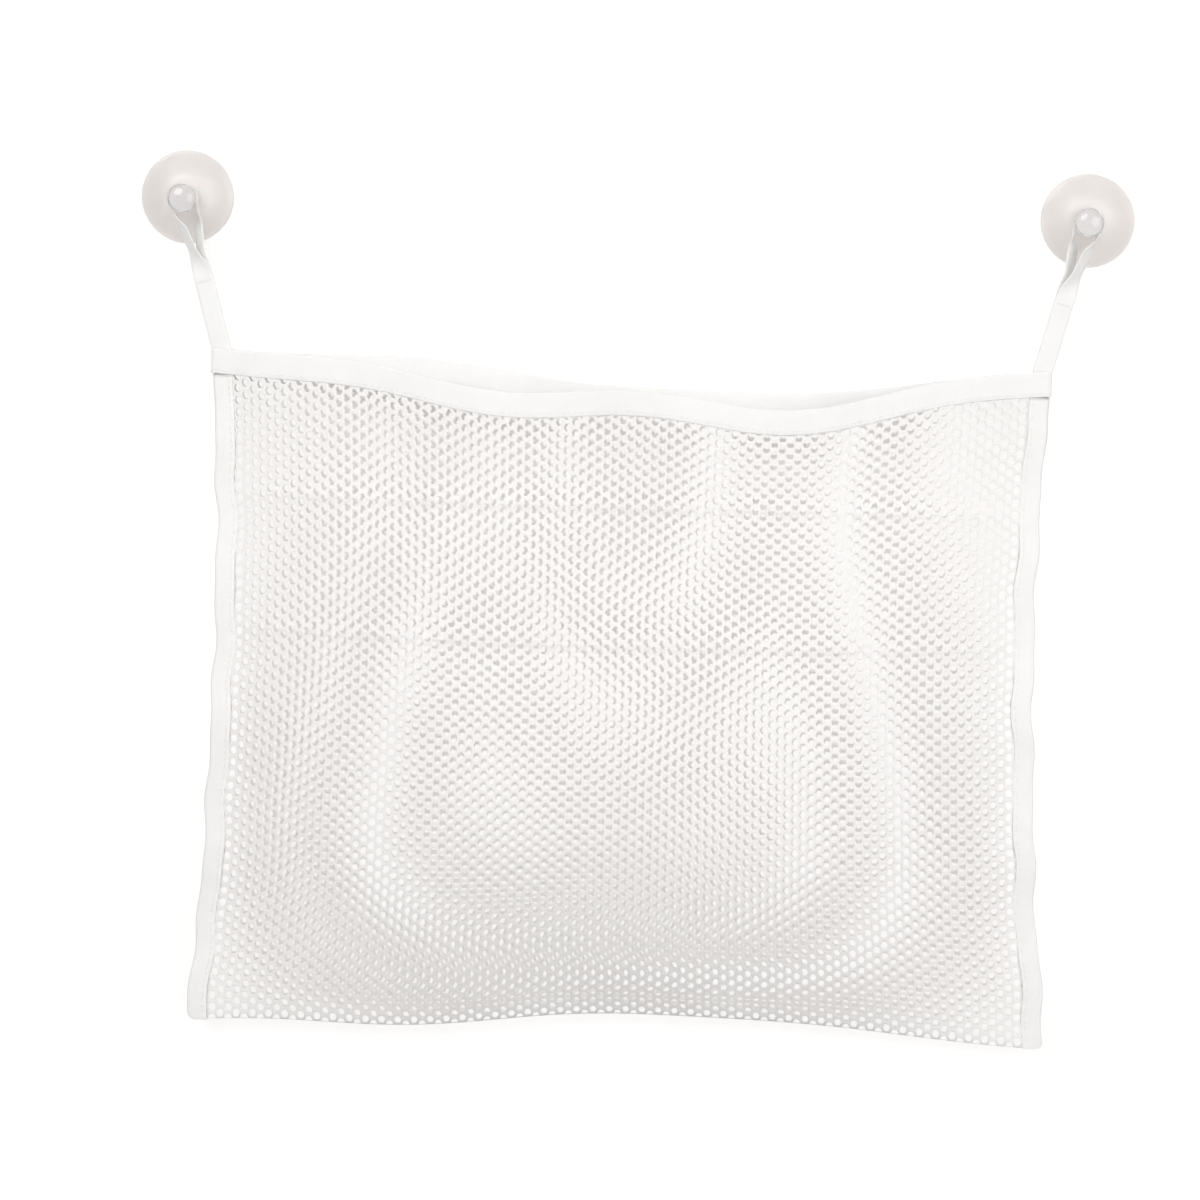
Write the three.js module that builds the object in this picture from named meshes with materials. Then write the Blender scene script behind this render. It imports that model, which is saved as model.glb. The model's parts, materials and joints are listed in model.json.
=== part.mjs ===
// Net organizer bag for a bathroom wall. Two net panels are bound with tape into an open bag,
// which hangs by two doubled ribbons from the knobs of two suction cups.
// Millimetres, +Z up. The wall is the plane y = 0, the bag hangs in front of it towards -Y,
// and the origin lies on the wall midway between the two cups.

import * as THREE from 'three';

const { lerp, smoothstep, clamp } = THREE.MathUtils;

// Bag outline, over its bindings.
const BAG_TOP_WIDTH = 434;
const BAG_BOTTOM_WIDTH = 450;
const BAG_HEIGHT = 355;
const SIDE_DRAW_IN = 4.5; // each side edge is pulled in where the bag is full
const CORNER_FLARE = 100; // the bottom corners spread out over this height
const FRONT_SAG = 20; // middle of the front edge of the mouth, below the corners
const BACK_SAG = 13;
const BOTTOM_RISE = 12; // middle of the bottom fold, above the bottom corners

// Bag depth, measured from the side seams.
const FRONT_BELLY = 50;
const BACK_BELLY = 18;
const BELLY_DROP = 235; // the fullest height, below the top edge
const FRONT_MOUTH = 12; // how far the middle of each mouth edge stands off the seams
const BACK_MOUTH = 4;
const SEAM_BOW = 8; // the load carries the side seams forward

// Net. Each opening stands for a patch of the fine hexagonal net.
const NET_THICKNESS = 0.8;
const NET_COLUMN_PITCH = 28;
const NET_ROW_PITCH = 41;
const NET_STRAND = 7;
const FOLD_MARGIN = 4; // plain strip along the bottom fold
const PANEL_GAP = 0.3; // between the two panels inside the side seams
const PANEL_TAPER = 45; // below the mouth the panels close in to that gap over this height

// Binding tape, folded over the edges of the net.
const TAPE_THICKNESS = 0.8;
const TAPE_FOLD = 0.5; // chamfer along the folded edge
const TOP_BINDING_HEIGHT = 13;
const SIDE_BINDING_WIDTH = 10.5;
const SEWN_GAP = 0.3; // between sewn layers

// Strap ribbons, each doubled into a loop and sewn between the two top bindings.
const RIBBON_WIDTH = 10;
const RIBBON_THICKNESS = 0.8;
const RIBBON_TAIL = 5; // below the stitch line
const RIBBON_INSET = 1; // from the bag's side edge
const STITCH_DEPTH = 5; // stitch line below the top edge of the bindings
const STRAP_RISE = 82; // stitch line up to the cup's axis
const STRAP_LEAN = 22; // each strap leans outwards to its cup
const LOOP_LENGTH = 37; // the two plies meet this far below the cup's axis
const LOOP_SLACK = 1.4; // beside the neck
const LOOP_SEAT = 0.7; // above the neck
const LOOP_SOFTNESS = 4; // rounding where the plies part
const TWIST_LEAD = 5; // the quarter twist starts this far below the meeting of the plies
const TWIST_LENGTH = 36;
const OPEN_TURN = 0.64; // share of the twist that opens the strands above the fork
const OPEN_LENGTH = 17;
const SEAT_LENGTH = 10; // the rest of the twist, where the ribbon comes to lie on the neck

// Suction cup with its mushroom knob, one clear moulding.
const CUP_DIAMETER = 48;
const CUP_RIM_WIDTH = 4; // flat ring that lies on the wall
const CUP_LIP = 0.9; // thickness at the edge
const CUP_DOME_HEIGHT = 9.5;
const CUP_HOLLOW_DEPTH = 6.5;
const CUP_HOLLOW_ROUNDING = 0.6; // share of the hollow's radius that its roof stays flat for
const NECK_DIAMETER = 10.5;
const CUP_SHOULDER = 3; // nearly flat ring round the root of the neck
const NECK_CLEARANCE = 0.8; // at each edge of the ribbon
const NECK_FILLET = 0.5;
const HEAD_DIAMETER = 15;
const HEAD_HEIGHT = 6;
const HEAD_EDGE = 2.2; // height of the rounded edge of the head

// Facet counts.
const CUP_SEGMENTS = 36;
const CUP_CURVE_STEPS = 5;
const RIBBON_STEPS = 8;
const LOOP_STEPS = 12;

const FRONT = -1;
const BACK = 1;
const LEFT = -1;
const RIGHT = 1;

// Fits that follow from the sizes above.
const NECK_RADIUS = NECK_DIAMETER / 2;
const NECK_LENGTH = RIBBON_WIDTH + 2 * NECK_CLEARANCE;
const STRAP_Y = -(CUP_DOME_HEIGHT + NECK_LENGTH / 2);
const STITCH_X = BAG_TOP_WIDTH / 2 - RIBBON_INSET - RIBBON_WIDTH / 2;
const STITCH_Z = -STRAP_RISE;
const CUP_X = STITCH_X + STRAP_LEAN;
const EDGE_INSET = TAPE_THICKNESS + SEWN_GAP;
const NET_TOP_Z = STITCH_Z + STITCH_DEPTH - EDGE_INSET;
const NET_HEIGHT = BAG_HEIGHT - EDGE_INSET;
const FIELD_TOP = TOP_BINDING_HEIGHT - EDGE_INSET + SEWN_GAP;
const FIELD_BOTTOM = NET_HEIGHT - FOLD_MARGIN;
const FIELD_INSET = SIDE_BINDING_WIDTH + SEWN_GAP;
const SLOT_HALF = NET_THICKNESS / 2 + SEWN_GAP;
const BINDING_HALF = SLOT_HALF + TAPE_THICKNESS;
const PLY_HALF = (RIBBON_THICKNESS + SEWN_GAP) / 2;
const MOUTH_HALF = PLY_HALF + RIBBON_THICKNESS / 2 + SEWN_GAP + BINDING_HALF;
const SEAM_HALF = (NET_THICKNESS + PANEL_GAP) / 2;

/** Half the bag's width at a drop below the net's top edge. */
function halfWidth(drop) {
  const flareTop = NET_HEIGHT - CORNER_FLARE;
  const pull = Math.sin(Math.PI * clamp(drop / flareTop, 0, 1));
  const flare = smoothstep(drop, flareTop, NET_HEIGHT);
  return BAG_TOP_WIDTH / 2 - SIDE_DRAW_IN * pull + ((BAG_BOTTOM_WIDTH - BAG_TOP_WIDTH) / 2) * flare;
}

/** Depth position of the side seams. */
function seamY(drop) {
  return STRAP_Y - SEAM_BOW * Math.sin((Math.PI * drop) / NET_HEIGHT) ** 2;
}

/** Half the distance between the two panels' middle planes at the side seams. */
function seamHalf(drop) {
  return lerp(MOUTH_HALF, SEAM_HALF, smoothstep(drop, FIELD_TOP, FIELD_TOP + PANEL_TAPER));
}

/** How far a panel's middle stands off the seams. */
function swell(side, drop) {
  const belly = side === FRONT ? FRONT_BELLY : BACK_BELLY;
  const mouth = side === FRONT ? FRONT_MOUTH : BACK_MOUTH;
  if (drop < BELLY_DROP) {
    return lerp(mouth, belly, smoothstep(drop, 0, BELLY_DROP));
  }
  const below = (drop - BELLY_DROP) / (NET_HEIGHT - BELLY_DROP);
  return belly * (1 - below * below);
}

/** Point on the middle surface of a panel, x across and drop down from its top edge. */
function panelPoint(side, x, drop) {
  const half = halfWidth(drop);
  const across = 1 - (x / half) ** 2;
  const fullness = Math.max(0, 1 - (x / (half - FIELD_INSET)) ** 2);
  const sag = side === FRONT ? FRONT_SAG : BACK_SAG;
  const top = NET_TOP_Z - sag * across;
  const bottom = NET_TOP_Z - NET_HEIGHT + BOTTOM_RISE * across;
  const y = seamY(drop) + side * (seamHalf(drop) + swell(side, drop) * fullness);
  return new THREE.Vector3(x, y, lerp(top, bottom, drop / NET_HEIGHT));
}

/** Outward normal of a panel's middle surface. */
function panelNormal(side, x, drop) {
  const step = 0.5;
  const alongX = panelPoint(side, x + step, drop).sub(panelPoint(side, x - step, drop));
  const alongDrop = panelPoint(side, x, drop + step).sub(panelPoint(side, x, drop - step));
  return alongX.cross(alongDrop).normalize().multiplyScalar(-side);
}

/** Six times the signed volume that a triangle mesh encloses. */
function signedVolume(positions, index) {
  const a = new THREE.Vector3();
  const b = new THREE.Vector3();
  const c = new THREE.Vector3();
  let sum = 0;
  for (let i = 0; i < index.length; i += 3) {
    a.fromArray(positions, 3 * index[i]);
    b.fromArray(positions, 3 * index[i + 1]);
    c.fromArray(positions, 3 * index[i + 2]);
    sum += a.dot(b.cross(c));
  }
  return sum;
}

/** Closed mesh from points and triangles, with its faces turned outwards. */
function solid(points, triangles) {
  const positions = points.flatMap((p) => [p.x, p.y, p.z]);
  let index = triangles.flat();
  if (signedVolume(positions, index) < 0) {
    index = triangles.flatMap(([a, b, c]) => [a, c, b]);
  }
  const geometry = new THREE.BufferGeometry();
  geometry.setAttribute('position', new THREE.Float32BufferAttribute(positions, 3));
  geometry.setIndex(index);
  geometry.computeVertexNormals();
  return geometry;
}

/** Solid lofted through equal rings of points, closed at both ends by the profile's own area. */
function loft(rings, profile) {
  const count = profile.length;
  const triangles = [];
  for (let i = 0; i + 1 < rings.length; i += 1) {
    for (let k = 0; k < count; k += 1) {
      const a = i * count + k;
      const b = i * count + ((k + 1) % count);
      triangles.push([a, b, b + count], [a, b + count, a + count]);
    }
  }
  const last = (rings.length - 1) * count;
  for (const [a, b, c] of THREE.ShapeUtils.triangulateShape(profile, [])) {
    triangles.push([a, c, b], [last + a, last + b, last + c]);
  }
  return solid(rings.flat(), triangles);
}

/** Section of a tape folded over an edge: u runs from the fold along the tape, v across it. */
function foldedTape(reach, slotHalf) {
  const outer = slotHalf + TAPE_THICKNESS;
  return [
    new THREE.Vector2(0, -outer + TAPE_FOLD),
    new THREE.Vector2(TAPE_FOLD, -outer),
    new THREE.Vector2(reach, -outer),
    new THREE.Vector2(reach, -slotHalf),
    new THREE.Vector2(TAPE_THICKNESS, -slotHalf),
    new THREE.Vector2(TAPE_THICKNESS, slotHalf),
    new THREE.Vector2(reach, slotHalf),
    new THREE.Vector2(reach, outer),
    new THREE.Vector2(TAPE_FOLD, outer),
    new THREE.Vector2(0, outer - TAPE_FOLD),
  ];
}

/**
 * Flat layout of one panel: staggered columns of hexagonal cells between the bindings, with half
 * cells at the ends of every second column. Corners are shared between neighbouring cells.
 */
function netLayout() {
  const half = BAG_TOP_WIDTH / 2 - FIELD_INSET;
  const columns = Math.max(3, Math.round((2 * half) / NET_COLUMN_PITCH));
  const rows = Math.max(2, Math.round((FIELD_BOTTOM - FIELD_TOP) / NET_ROW_PITCH));
  const pitchX = (2 * half) / (columns - 1 / 3);
  const pitchDrop = (FIELD_BOTTOM - FIELD_TOP) / rows;
  const hexagon = [
    [-2 / 3, 0],
    [-1 / 3, -1 / 2],
    [1 / 3, -1 / 2],
    [2 / 3, 0],
    [1 / 3, 1 / 2],
    [-1 / 3, 1 / 2],
  ];
  const corners = [];
  const known = new Map();
  const cells = [];
  const cornerAt = (x, drop) => {
    const key = `${x.toFixed(2)} ${drop.toFixed(2)}`;
    if (!known.has(key)) {
      known.set(key, corners.length);
      corners.push(new THREE.Vector2(x, drop));
    }
    return known.get(key);
  };
  for (let column = 0; column < columns; column += 1) {
    const x = -half + pitchX * (column + 1 / 3);
    const shift = column % 2 === 0 ? 0.5 : 0;
    const count = column % 2 === 0 ? rows : rows + 1;
    for (let row = 0; row < count; row += 1) {
      const drop = FIELD_TOP + pitchDrop * (row + shift);
      const outline = hexagon
        .map(([u, v]) => [clamp(x + u * pitchX, -half, half), drop + v * pitchDrop])
        .filter(([, d]) => d > FIELD_TOP - 0.01 && d < FIELD_BOTTOM + 0.01);
      if (row === 0 && shift === 0) {
        outline.splice(1, 0, [x, drop]);
      }
      if (row === rows && shift === 0) {
        outline.push([x, drop]);
      }
      cells.push(outline.map(([cx, cd]) => cornerAt(cx, cd)));
    }
  }
  return { half, pitchX, pitchDrop, corners, cells };
}

/** One net panel: strands between the openings, and a plain selvedge under the bindings. */
function netPanel(side) {
  const { half, pitchX, pitchDrop, corners, cells } = netLayout();
  const flat = [];
  const faces = [];
  const addPoint = (x, drop) => flat.push(new THREE.Vector2(x, drop)) - 1;
  const addFace = (ids) => {
    const ring = ids.map((id) => flat[id]);
    const ordered = THREE.ShapeUtils.area(ring) > 0 ? ids : [...ids].reverse();
    for (let k = 1; k + 1 < ordered.length; k += 1) {
      faces.push([ordered[0], ordered[k], ordered[k + 1]]);
    }
  };

  // Openings: each cell drawn in by half a strand towards its own middle.
  const pitch = (pitchDrop + Math.hypot(pitchX, pitchDrop / 2)) / 2;
  const open = 1 - NET_STRAND / pitch;
  const cellsAtCorner = corners.map(() => []);
  const sidesOfEdge = new Map();
  for (const cell of cells) {
    const middle = new THREE.Vector2();
    cell.forEach((id) => middle.addScaledVector(corners[id], 1 / cell.length));
    const hole = cell.map((id) => {
      const p = middle.clone().lerp(corners[id], open);
      return addPoint(p.x, p.y);
    });
    cell.forEach((id, k) => {
      const next = (k + 1) % cell.length;
      const key = [id, cell[next]].sort((p, q) => p - q).join(' ');
      if (!sidesOfEdge.has(key)) {
        sidesOfEdge.set(key, []);
      }
      sidesOfEdge.get(key).push({ ends: [id, cell[next]], hole: [hole[k], hole[next]] });
      cellsAtCorner[id].push(hole[k]);
    });
  }

  // Selvedge: the border of the openings continues to the edges of the net inside the bindings.
  const edgeX = half + FIELD_INSET - EDGE_INSET;
  const edgePoints = new Map();
  const pointAt = (name, x, drop) => {
    if (!edgePoints.has(name)) {
      edgePoints.set(name, addPoint(x, drop));
    }
    return edgePoints.get(name);
  };
  const onSide = (id) => Math.abs(corners[id].x) > half - 0.01;
  const endDrop = (id) => (corners[id].y < (FIELD_TOP + FIELD_BOTTOM) / 2 ? 0 : NET_HEIGHT);
  const sideX = (id) => Math.sign(corners[id].x) * edgeX;
  const border = (id) => pointAt(`border ${id}`, corners[id].x, corners[id].y);
  const endEdge = (id) => pointAt(`end ${id}`, corners[id].x, endDrop(id));
  const sideEdge = (id) => pointAt(`side ${id}`, sideX(id), corners[id].y);

  // Strands along the cell edges, and the selvedge outside them.
  for (const [first, second] of sidesOfEdge.values()) {
    const [p, q] = first.ends;
    if (second) {
      const [a, b] = second.ends[0] === p ? second.hole : [...second.hole].reverse();
      addFace([first.hole[0], first.hole[1], b, a]);
    } else {
      const edge = onSide(p) && onSide(q) ? sideEdge : endEdge;
      addFace([first.hole[0], first.hole[1], border(q), border(p)]);
      addFace([border(p), border(q), edge(q), edge(p)]);
    }
  }

  // Knots where the strands meet, and the corners of the selvedge.
  cellsAtCorner.forEach((holes, id) => {
    const ring = edgePoints.has(`border ${id}`) ? [...holes, border(id)] : holes;
    if (ring.length > 2) {
      addFace(ring);
    }
    if (edgePoints.has(`end ${id}`) && edgePoints.has(`side ${id}`)) {
      const corner = pointAt(`corner ${id}`, sideX(id), endDrop(id));
      addFace([border(id), endEdge(id), corner, sideEdge(id)]);
    }
  });

  return thickSheet(side, half, flat, faces);
}

/** Lays a flat triangulation on a panel's surface and gives it the net's thickness. */
function thickSheet(side, half, flat, faces) {
  const count = flat.length;
  const inner = [];
  const outer = [];
  for (const { x, y: drop } of flat) {
    const wide = halfWidth(drop);
    const beyond = Math.max(0, Math.abs(x) - half);
    const reach = Math.min(Math.abs(x), half) * ((wide - FIELD_INSET) / half) + beyond;
    const at = panelPoint(side, Math.sign(x) * reach, drop);
    const normal = panelNormal(side, Math.sign(x) * reach, drop);
    outer.push(at.clone().addScaledVector(normal, NET_THICKNESS / 2));
    inner.push(at.clone().addScaledVector(normal, -NET_THICKNESS / 2));
  }
  const triangles = [];
  const rim = new Map();
  for (const [a, b, c] of faces) {
    triangles.push([a, b, c], [a + count, c + count, b + count]);
    for (const [p, q] of [[a, b], [b, c], [c, a]]) {
      if (rim.has(`${q} ${p}`)) {
        rim.delete(`${q} ${p}`);
      } else {
        rim.set(`${p} ${q}`, [p, q]);
      }
    }
  }
  for (const [p, q] of rim.values()) {
    triangles.push([q, p, p + count], [q, p + count, q + count]);
  }
  return solid([...outer, ...inner], triangles);
}

/** Places across the bag where the top edge of the net has a corner, out to the bag's edges. */
function topStations() {
  const { half, corners } = netLayout();
  const along = corners.filter((p) => p.y < FIELD_TOP + 0.01).map((p) => p.x);
  const stretch = (halfWidth(0) - FIELD_INSET) / half;
  const edge = halfWidth(0);
  return [-edge, ...along.map((x) => x * stretch), edge].sort((p, q) => p - q);
}

/** Drops where the side edge of the net has a corner, from the top binding to the fold. */
function sideStations() {
  const { half, corners } = netLayout();
  const drops = corners.filter((p) => p.x > half - 0.01).map((p) => p.y);
  drops.sort((p, q) => p - q);
  return [FIELD_TOP + SEWN_GAP, ...drops.slice(1), NET_HEIGHT];
}

/** Tape folded over one edge of the mouth. */
function topBinding(side) {
  const profile = foldedTape(TOP_BINDING_HEIGHT, SLOT_HALF);
  const rings = topStations().map((x) => {
    const edge = panelPoint(side, x, 0);
    const up = edge.clone().sub(panelPoint(side, x, FIELD_TOP)).normalize();
    const normal = panelNormal(side, x, FIELD_TOP / 2);
    normal.addScaledVector(up, -normal.dot(up)).normalize();
    return profile.map((p) =>
      edge.clone().addScaledVector(up, EDGE_INSET - p.x).addScaledVector(normal, p.y),
    );
  });
  return loft(rings, profile);
}

/** Tape folded over one side edge of both panels. */
function sideBinding(hand) {
  const rings = sideStations().map((drop) => {
    const profile = foldedTape(SIDE_BINDING_WIDTH, seamHalf(drop) + SLOT_HALF);
    return profile.map((p) => {
      const x = hand * (halfWidth(drop) - p.x);
      const at = panelPoint(FRONT, x, drop);
      return new THREE.Vector3(x, seamY(drop) + p.y, at.z);
    });
  });
  return loft(rings, foldedTape(SIDE_BINDING_WIDTH, SEAM_HALF + SLOT_HALF));
}

/**
 * Ribbon doubled over the neck of a cup. Below the loop the two plies lie one on the other facing
 * forwards. Above the fork the strands turn most of a quarter round, and the rest at the neck, so
 * that the ribbon lies on it. The two straps are mirror images.
 */
function strap(hand) {
  const stitch = new THREE.Vector3(STITCH_X, STRAP_Y, STITCH_Z);
  const neck = new THREE.Vector3(CUP_X, STRAP_Y, 0);
  const up = neck.clone().sub(stitch).normalize();
  const forward = new THREE.Vector3(0, -1, 0);
  const across = up.clone().cross(forward);
  const centre = neck.clone().addScaledVector(up, LOOP_SEAT - LOOP_SLACK);
  const radius = NECK_RADIUS + LOOP_SLACK + RIBBON_THICKNESS / 2;

  // The plies leave the loop along tangents to the point where they meet.
  const reach = Math.hypot(PLY_HALF, LOOP_LENGTH);
  const tangent = Math.atan2(PLY_HALF, LOOP_LENGTH) + Math.acos(radius / reach);
  const tangentBelow = radius * Math.cos(tangent);
  const spread = radius * Math.sin(tangent) - PLY_HALF;
  const slope = spread / (LOOP_LENGTH - tangentBelow);
  const tailBelow = centre.distanceTo(stitch) + RIBBON_TAIL;

  // One ply from its tail to the loop, as a distance below the loop's centre, an offset and a turn.
  const ply = [];
  const twistBelow = LOOP_LENGTH + TWIST_LEAD;
  const plainSteps = RIBBON_STEPS;
  for (let i = 0; i < plainSteps; i += 1) {
    ply.push(lerp(tailBelow, twistBelow, i / plainSteps));
  }
  const twistSteps = 2 * RIBBON_STEPS;
  for (let i = 0; i < twistSteps; i += 1) {
    ply.push(lerp(twistBelow, tangentBelow, i / twistSteps));
  }
  const stations = ply.map((below) => {
    const above = LOOP_LENGTH - below;
    const parted = (above + Math.hypot(above, LOOP_SOFTNESS)) / 2;
    const rise = twistBelow - below;
    const opened = OPEN_TURN * smoothstep(rise, 0, OPEN_LENGTH);
    const seated = (1 - OPEN_TURN) * smoothstep(rise, TWIST_LENGTH - SEAT_LENGTH, TWIST_LENGTH);
    const turn = (Math.PI / 2) * (opened + seated);
    return { below, offset: PLY_HALF + slope * parted, turn };
  });
  const arc = [];
  for (let i = 0; i <= LOOP_STEPS; i += 1) {
    const angle = lerp(tangent, 2 * Math.PI - tangent, i / LOOP_STEPS);
    arc.push({ below: radius * Math.cos(angle), offset: radius * Math.sin(angle), turn: Math.PI / 2 });
  }
  const mirrored = stations.map((s) => ({ ...s, offset: -s.offset })).reverse();
  const path = [...stations, ...arc, ...mirrored].map(({ below, offset, turn }) => {
    const spreadAxis = forward.clone().multiplyScalar(Math.cos(turn));
    spreadAxis.addScaledVector(across, Math.sin(turn));
    const widthAxis = up.clone().cross(spreadAxis);
    const at = centre.clone().addScaledVector(up, -below).addScaledVector(spreadAxis, offset);
    return { at, widthAxis };
  });

  const half = RIBBON_WIDTH / 2;
  const thin = RIBBON_THICKNESS / 2;
  const profile = [
    new THREE.Vector2(-half, -thin),
    new THREE.Vector2(half, -thin),
    new THREE.Vector2(half, thin),
    new THREE.Vector2(-half, thin),
  ];
  const rings = path.map(({ at, widthAxis }, i) => {
    const before = path[Math.max(0, i - 1)].at;
    const after = path[Math.min(path.length - 1, i + 1)].at;
    const heading = after.clone().sub(before).normalize();
    const normal = heading.clone().cross(widthAxis).normalize();
    return profile.map((p) => {
      const point = at.clone().addScaledVector(widthAxis, p.x).addScaledVector(normal, p.y);
      point.x *= hand;
      return point;
    });
  });
  return loft(rings, profile);
}

/** Points of an elliptical quarter from (r0, h0) to (r1, h1), leaving along the radius if flat. */
function quarter(r0, h0, r1, h1, flat) {
  const points = [];
  for (let i = 1; i <= CUP_CURVE_STEPS; i += 1) {
    const angle = ((Math.PI / 2) * i) / CUP_CURVE_STEPS;
    const s = Math.sin(angle);
    const c = 1 - Math.cos(angle);
    points.push(new THREE.Vector2(lerp(r0, r1, flat ? s : c), lerp(h0, h1, flat ? c : s)));
  }
  return points;
}

/** Suction cup revolved about its axis, with the wall face of the rim at height 0. */
function suctionCup() {
  const rim = CUP_DIAMETER / 2;
  const inner = rim - CUP_RIM_WIDTH;
  const head = HEAD_DIAMETER / 2;
  const neckEnd = CUP_DOME_HEIGHT + NECK_LENGTH;
  const headTop = neckEnd + HEAD_HEIGHT;
  const shoulder = NECK_RADIUS + CUP_SHOULDER;
  const domeTop = CUP_DOME_HEIGHT - NECK_FILLET;
  const hollow = new THREE.QuadraticBezierCurve(
    new THREE.Vector2(0, CUP_HOLLOW_DEPTH),
    new THREE.Vector2(CUP_HOLLOW_ROUNDING * inner, CUP_HOLLOW_DEPTH),
    new THREE.Vector2(inner, 0),
  );
  const dome = new THREE.CubicBezierCurve(
    new THREE.Vector2(rim, CUP_LIP),
    new THREE.Vector2(inner, 2 * CUP_LIP),
    new THREE.Vector2((inner + shoulder) / 2, domeTop),
    new THREE.Vector2(shoulder, domeTop),
  );
  const profile = [
    ...hollow.getPoints(CUP_CURVE_STEPS),
    new THREE.Vector2(rim, 0),
    ...dome.getPoints(2 * CUP_CURVE_STEPS),
    new THREE.Vector2(NECK_RADIUS + NECK_FILLET, CUP_DOME_HEIGHT),
    new THREE.Vector2(NECK_RADIUS, CUP_DOME_HEIGHT + NECK_FILLET),
    new THREE.Vector2(NECK_RADIUS, neckEnd - NECK_FILLET),
    new THREE.Vector2(NECK_RADIUS + NECK_FILLET, neckEnd),
    ...quarter(head - HEAD_EDGE / 2, neckEnd, head, neckEnd + HEAD_EDGE, true),
    ...quarter(head, neckEnd + HEAD_EDGE, 0, headTop, false),
  ];
  const lathe = new THREE.LatheGeometry(profile, CUP_SEGMENTS);
  const positions = Array.from(lathe.getAttribute('position').array);
  const index = Array.from(lathe.getIndex().array);
  if (signedVolume(positions, index) < 0) {
    for (let i = 0; i < index.length; i += 3) {
      [index[i + 1], index[i + 2]] = [index[i + 2], index[i + 1]];
    }
    lathe.setIndex(index);
  }
  return lathe;
}

function finish(color, roughness, extra = {}) {
  return new THREE.MeshStandardMaterial({ color, roughness, metalness: 0, ...extra });
}

function piece(name, geometry, material) {
  const mesh = new THREE.Mesh(geometry, material);
  mesh.name = name;
  return mesh;
}

const bag = new THREE.Group();
bag.add(
  piece('net_front', netPanel(FRONT), finish(0xf7f4f2, 0.85)),
  piece('net_back', netPanel(BACK), finish(0xf7f4f2, 0.85)),
  piece('side_binding_left', sideBinding(LEFT), finish(0xf8f4f3, 0.8)),
  piece('side_binding_right', sideBinding(RIGHT), finish(0xf8f4f3, 0.8)),
  piece('top_binding_front', topBinding(FRONT), finish(0xfdfcfb, 0.8)),
  piece('top_binding_back', topBinding(BACK), finish(0xfdfcfb, 0.8)),
);

const hanger = (hand, suffix) => {
  const cup = piece(
    `suction_cup_${suffix}`,
    suctionCup(),
    finish(0xe4dfdb, 0.3, { transparent: true, opacity: 0.75 }),
  );
  cup.rotation.x = Math.PI;
  cup.position.x = hand * CUP_X;
  const group = new THREE.Group();
  group.add(piece(`strap_${suffix}`, strap(hand), finish(0xf4efea, 0.7)), cup);
  return group;
};

const organizer = new THREE.Group();
organizer.add(bag, hanger(LEFT, 'left'), hanger(RIGHT, 'right'));

export default organizer;
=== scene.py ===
"""Looks for the net organizer bag: a hexagonal net bound with tape, hung by ribbons from suction cups.

Metres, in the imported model's frame: the wall is the plane y = 0, the bag hangs towards -Y, +Z is up.
"""

import json
import logging
import math
from collections.abc import Sequence
from dataclasses import dataclass
from enum import Enum

import bpy
import numpy as np
from mathutils import Matrix, Vector


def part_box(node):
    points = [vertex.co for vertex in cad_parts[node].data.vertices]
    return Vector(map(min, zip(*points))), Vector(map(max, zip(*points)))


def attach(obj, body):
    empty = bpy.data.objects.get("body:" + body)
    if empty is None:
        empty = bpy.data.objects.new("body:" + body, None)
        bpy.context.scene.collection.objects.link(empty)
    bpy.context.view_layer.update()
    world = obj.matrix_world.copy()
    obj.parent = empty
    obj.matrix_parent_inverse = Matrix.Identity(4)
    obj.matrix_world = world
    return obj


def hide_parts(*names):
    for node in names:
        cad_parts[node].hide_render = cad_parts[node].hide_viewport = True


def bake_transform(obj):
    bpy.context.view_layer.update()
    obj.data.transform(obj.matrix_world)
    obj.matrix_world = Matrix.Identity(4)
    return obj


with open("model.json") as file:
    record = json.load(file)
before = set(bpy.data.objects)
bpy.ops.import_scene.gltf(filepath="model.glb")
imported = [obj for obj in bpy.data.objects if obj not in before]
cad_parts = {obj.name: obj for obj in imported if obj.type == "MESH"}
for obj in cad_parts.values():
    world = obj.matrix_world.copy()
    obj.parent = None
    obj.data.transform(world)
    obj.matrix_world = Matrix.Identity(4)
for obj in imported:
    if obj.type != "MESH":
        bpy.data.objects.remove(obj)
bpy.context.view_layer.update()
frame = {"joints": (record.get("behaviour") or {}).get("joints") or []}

JOINTS = {joint["name"]: np.array(joint["pos_m"]) for joint in frame["joints"]}

log = logging.getLogger("net_bag")

MM = 0.001
# The net's top edge lies this far below the fold of the mouth tape.
EDGE_INSET = 1.1 * MM
# The mouth tapes end this far below the net's top edge.
MOUTH_TAPE_END = 12.2 * MM
# Radius of a knob's neck, which a ribbon loop goes round.
NECK_RADIUS = 5.25 * MM


class Side(Enum):
    """A panel of the bag, as the sign of its outward direction along Y."""

    FRONT = -1
    BACK = 1


class Hand(Enum):
    """A side of the bag for someone facing the wall, as the sign of X."""

    LEFT = -1
    RIGHT = 1


# Helpers for numbers.


def smoothstep(x: np.ndarray, low: float, high: float) -> np.ndarray:
    """Smooth ramp from 0 at low to 1 at high."""
    t = np.clip((np.asarray(x, float) - low) / (high - low), 0.0, 1.0)
    return t * t * (3.0 - 2.0 * t)


def unit(vectors: np.ndarray) -> np.ndarray:
    """Vectors of length 1, along the last axis."""
    return vectors / np.linalg.norm(vectors, axis=-1, keepdims=True)


def sine_series(t: np.ndarray, amplitudes: tuple[float, ...]) -> np.ndarray:
    """Sum of half sine waves over t from 0 to 1, zero at both ends."""
    waves = np.arange(1, len(amplitudes) + 1)
    return np.sin(np.pi * np.multiply.outer(t, waves)) @ np.asarray(amplitudes)


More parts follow.
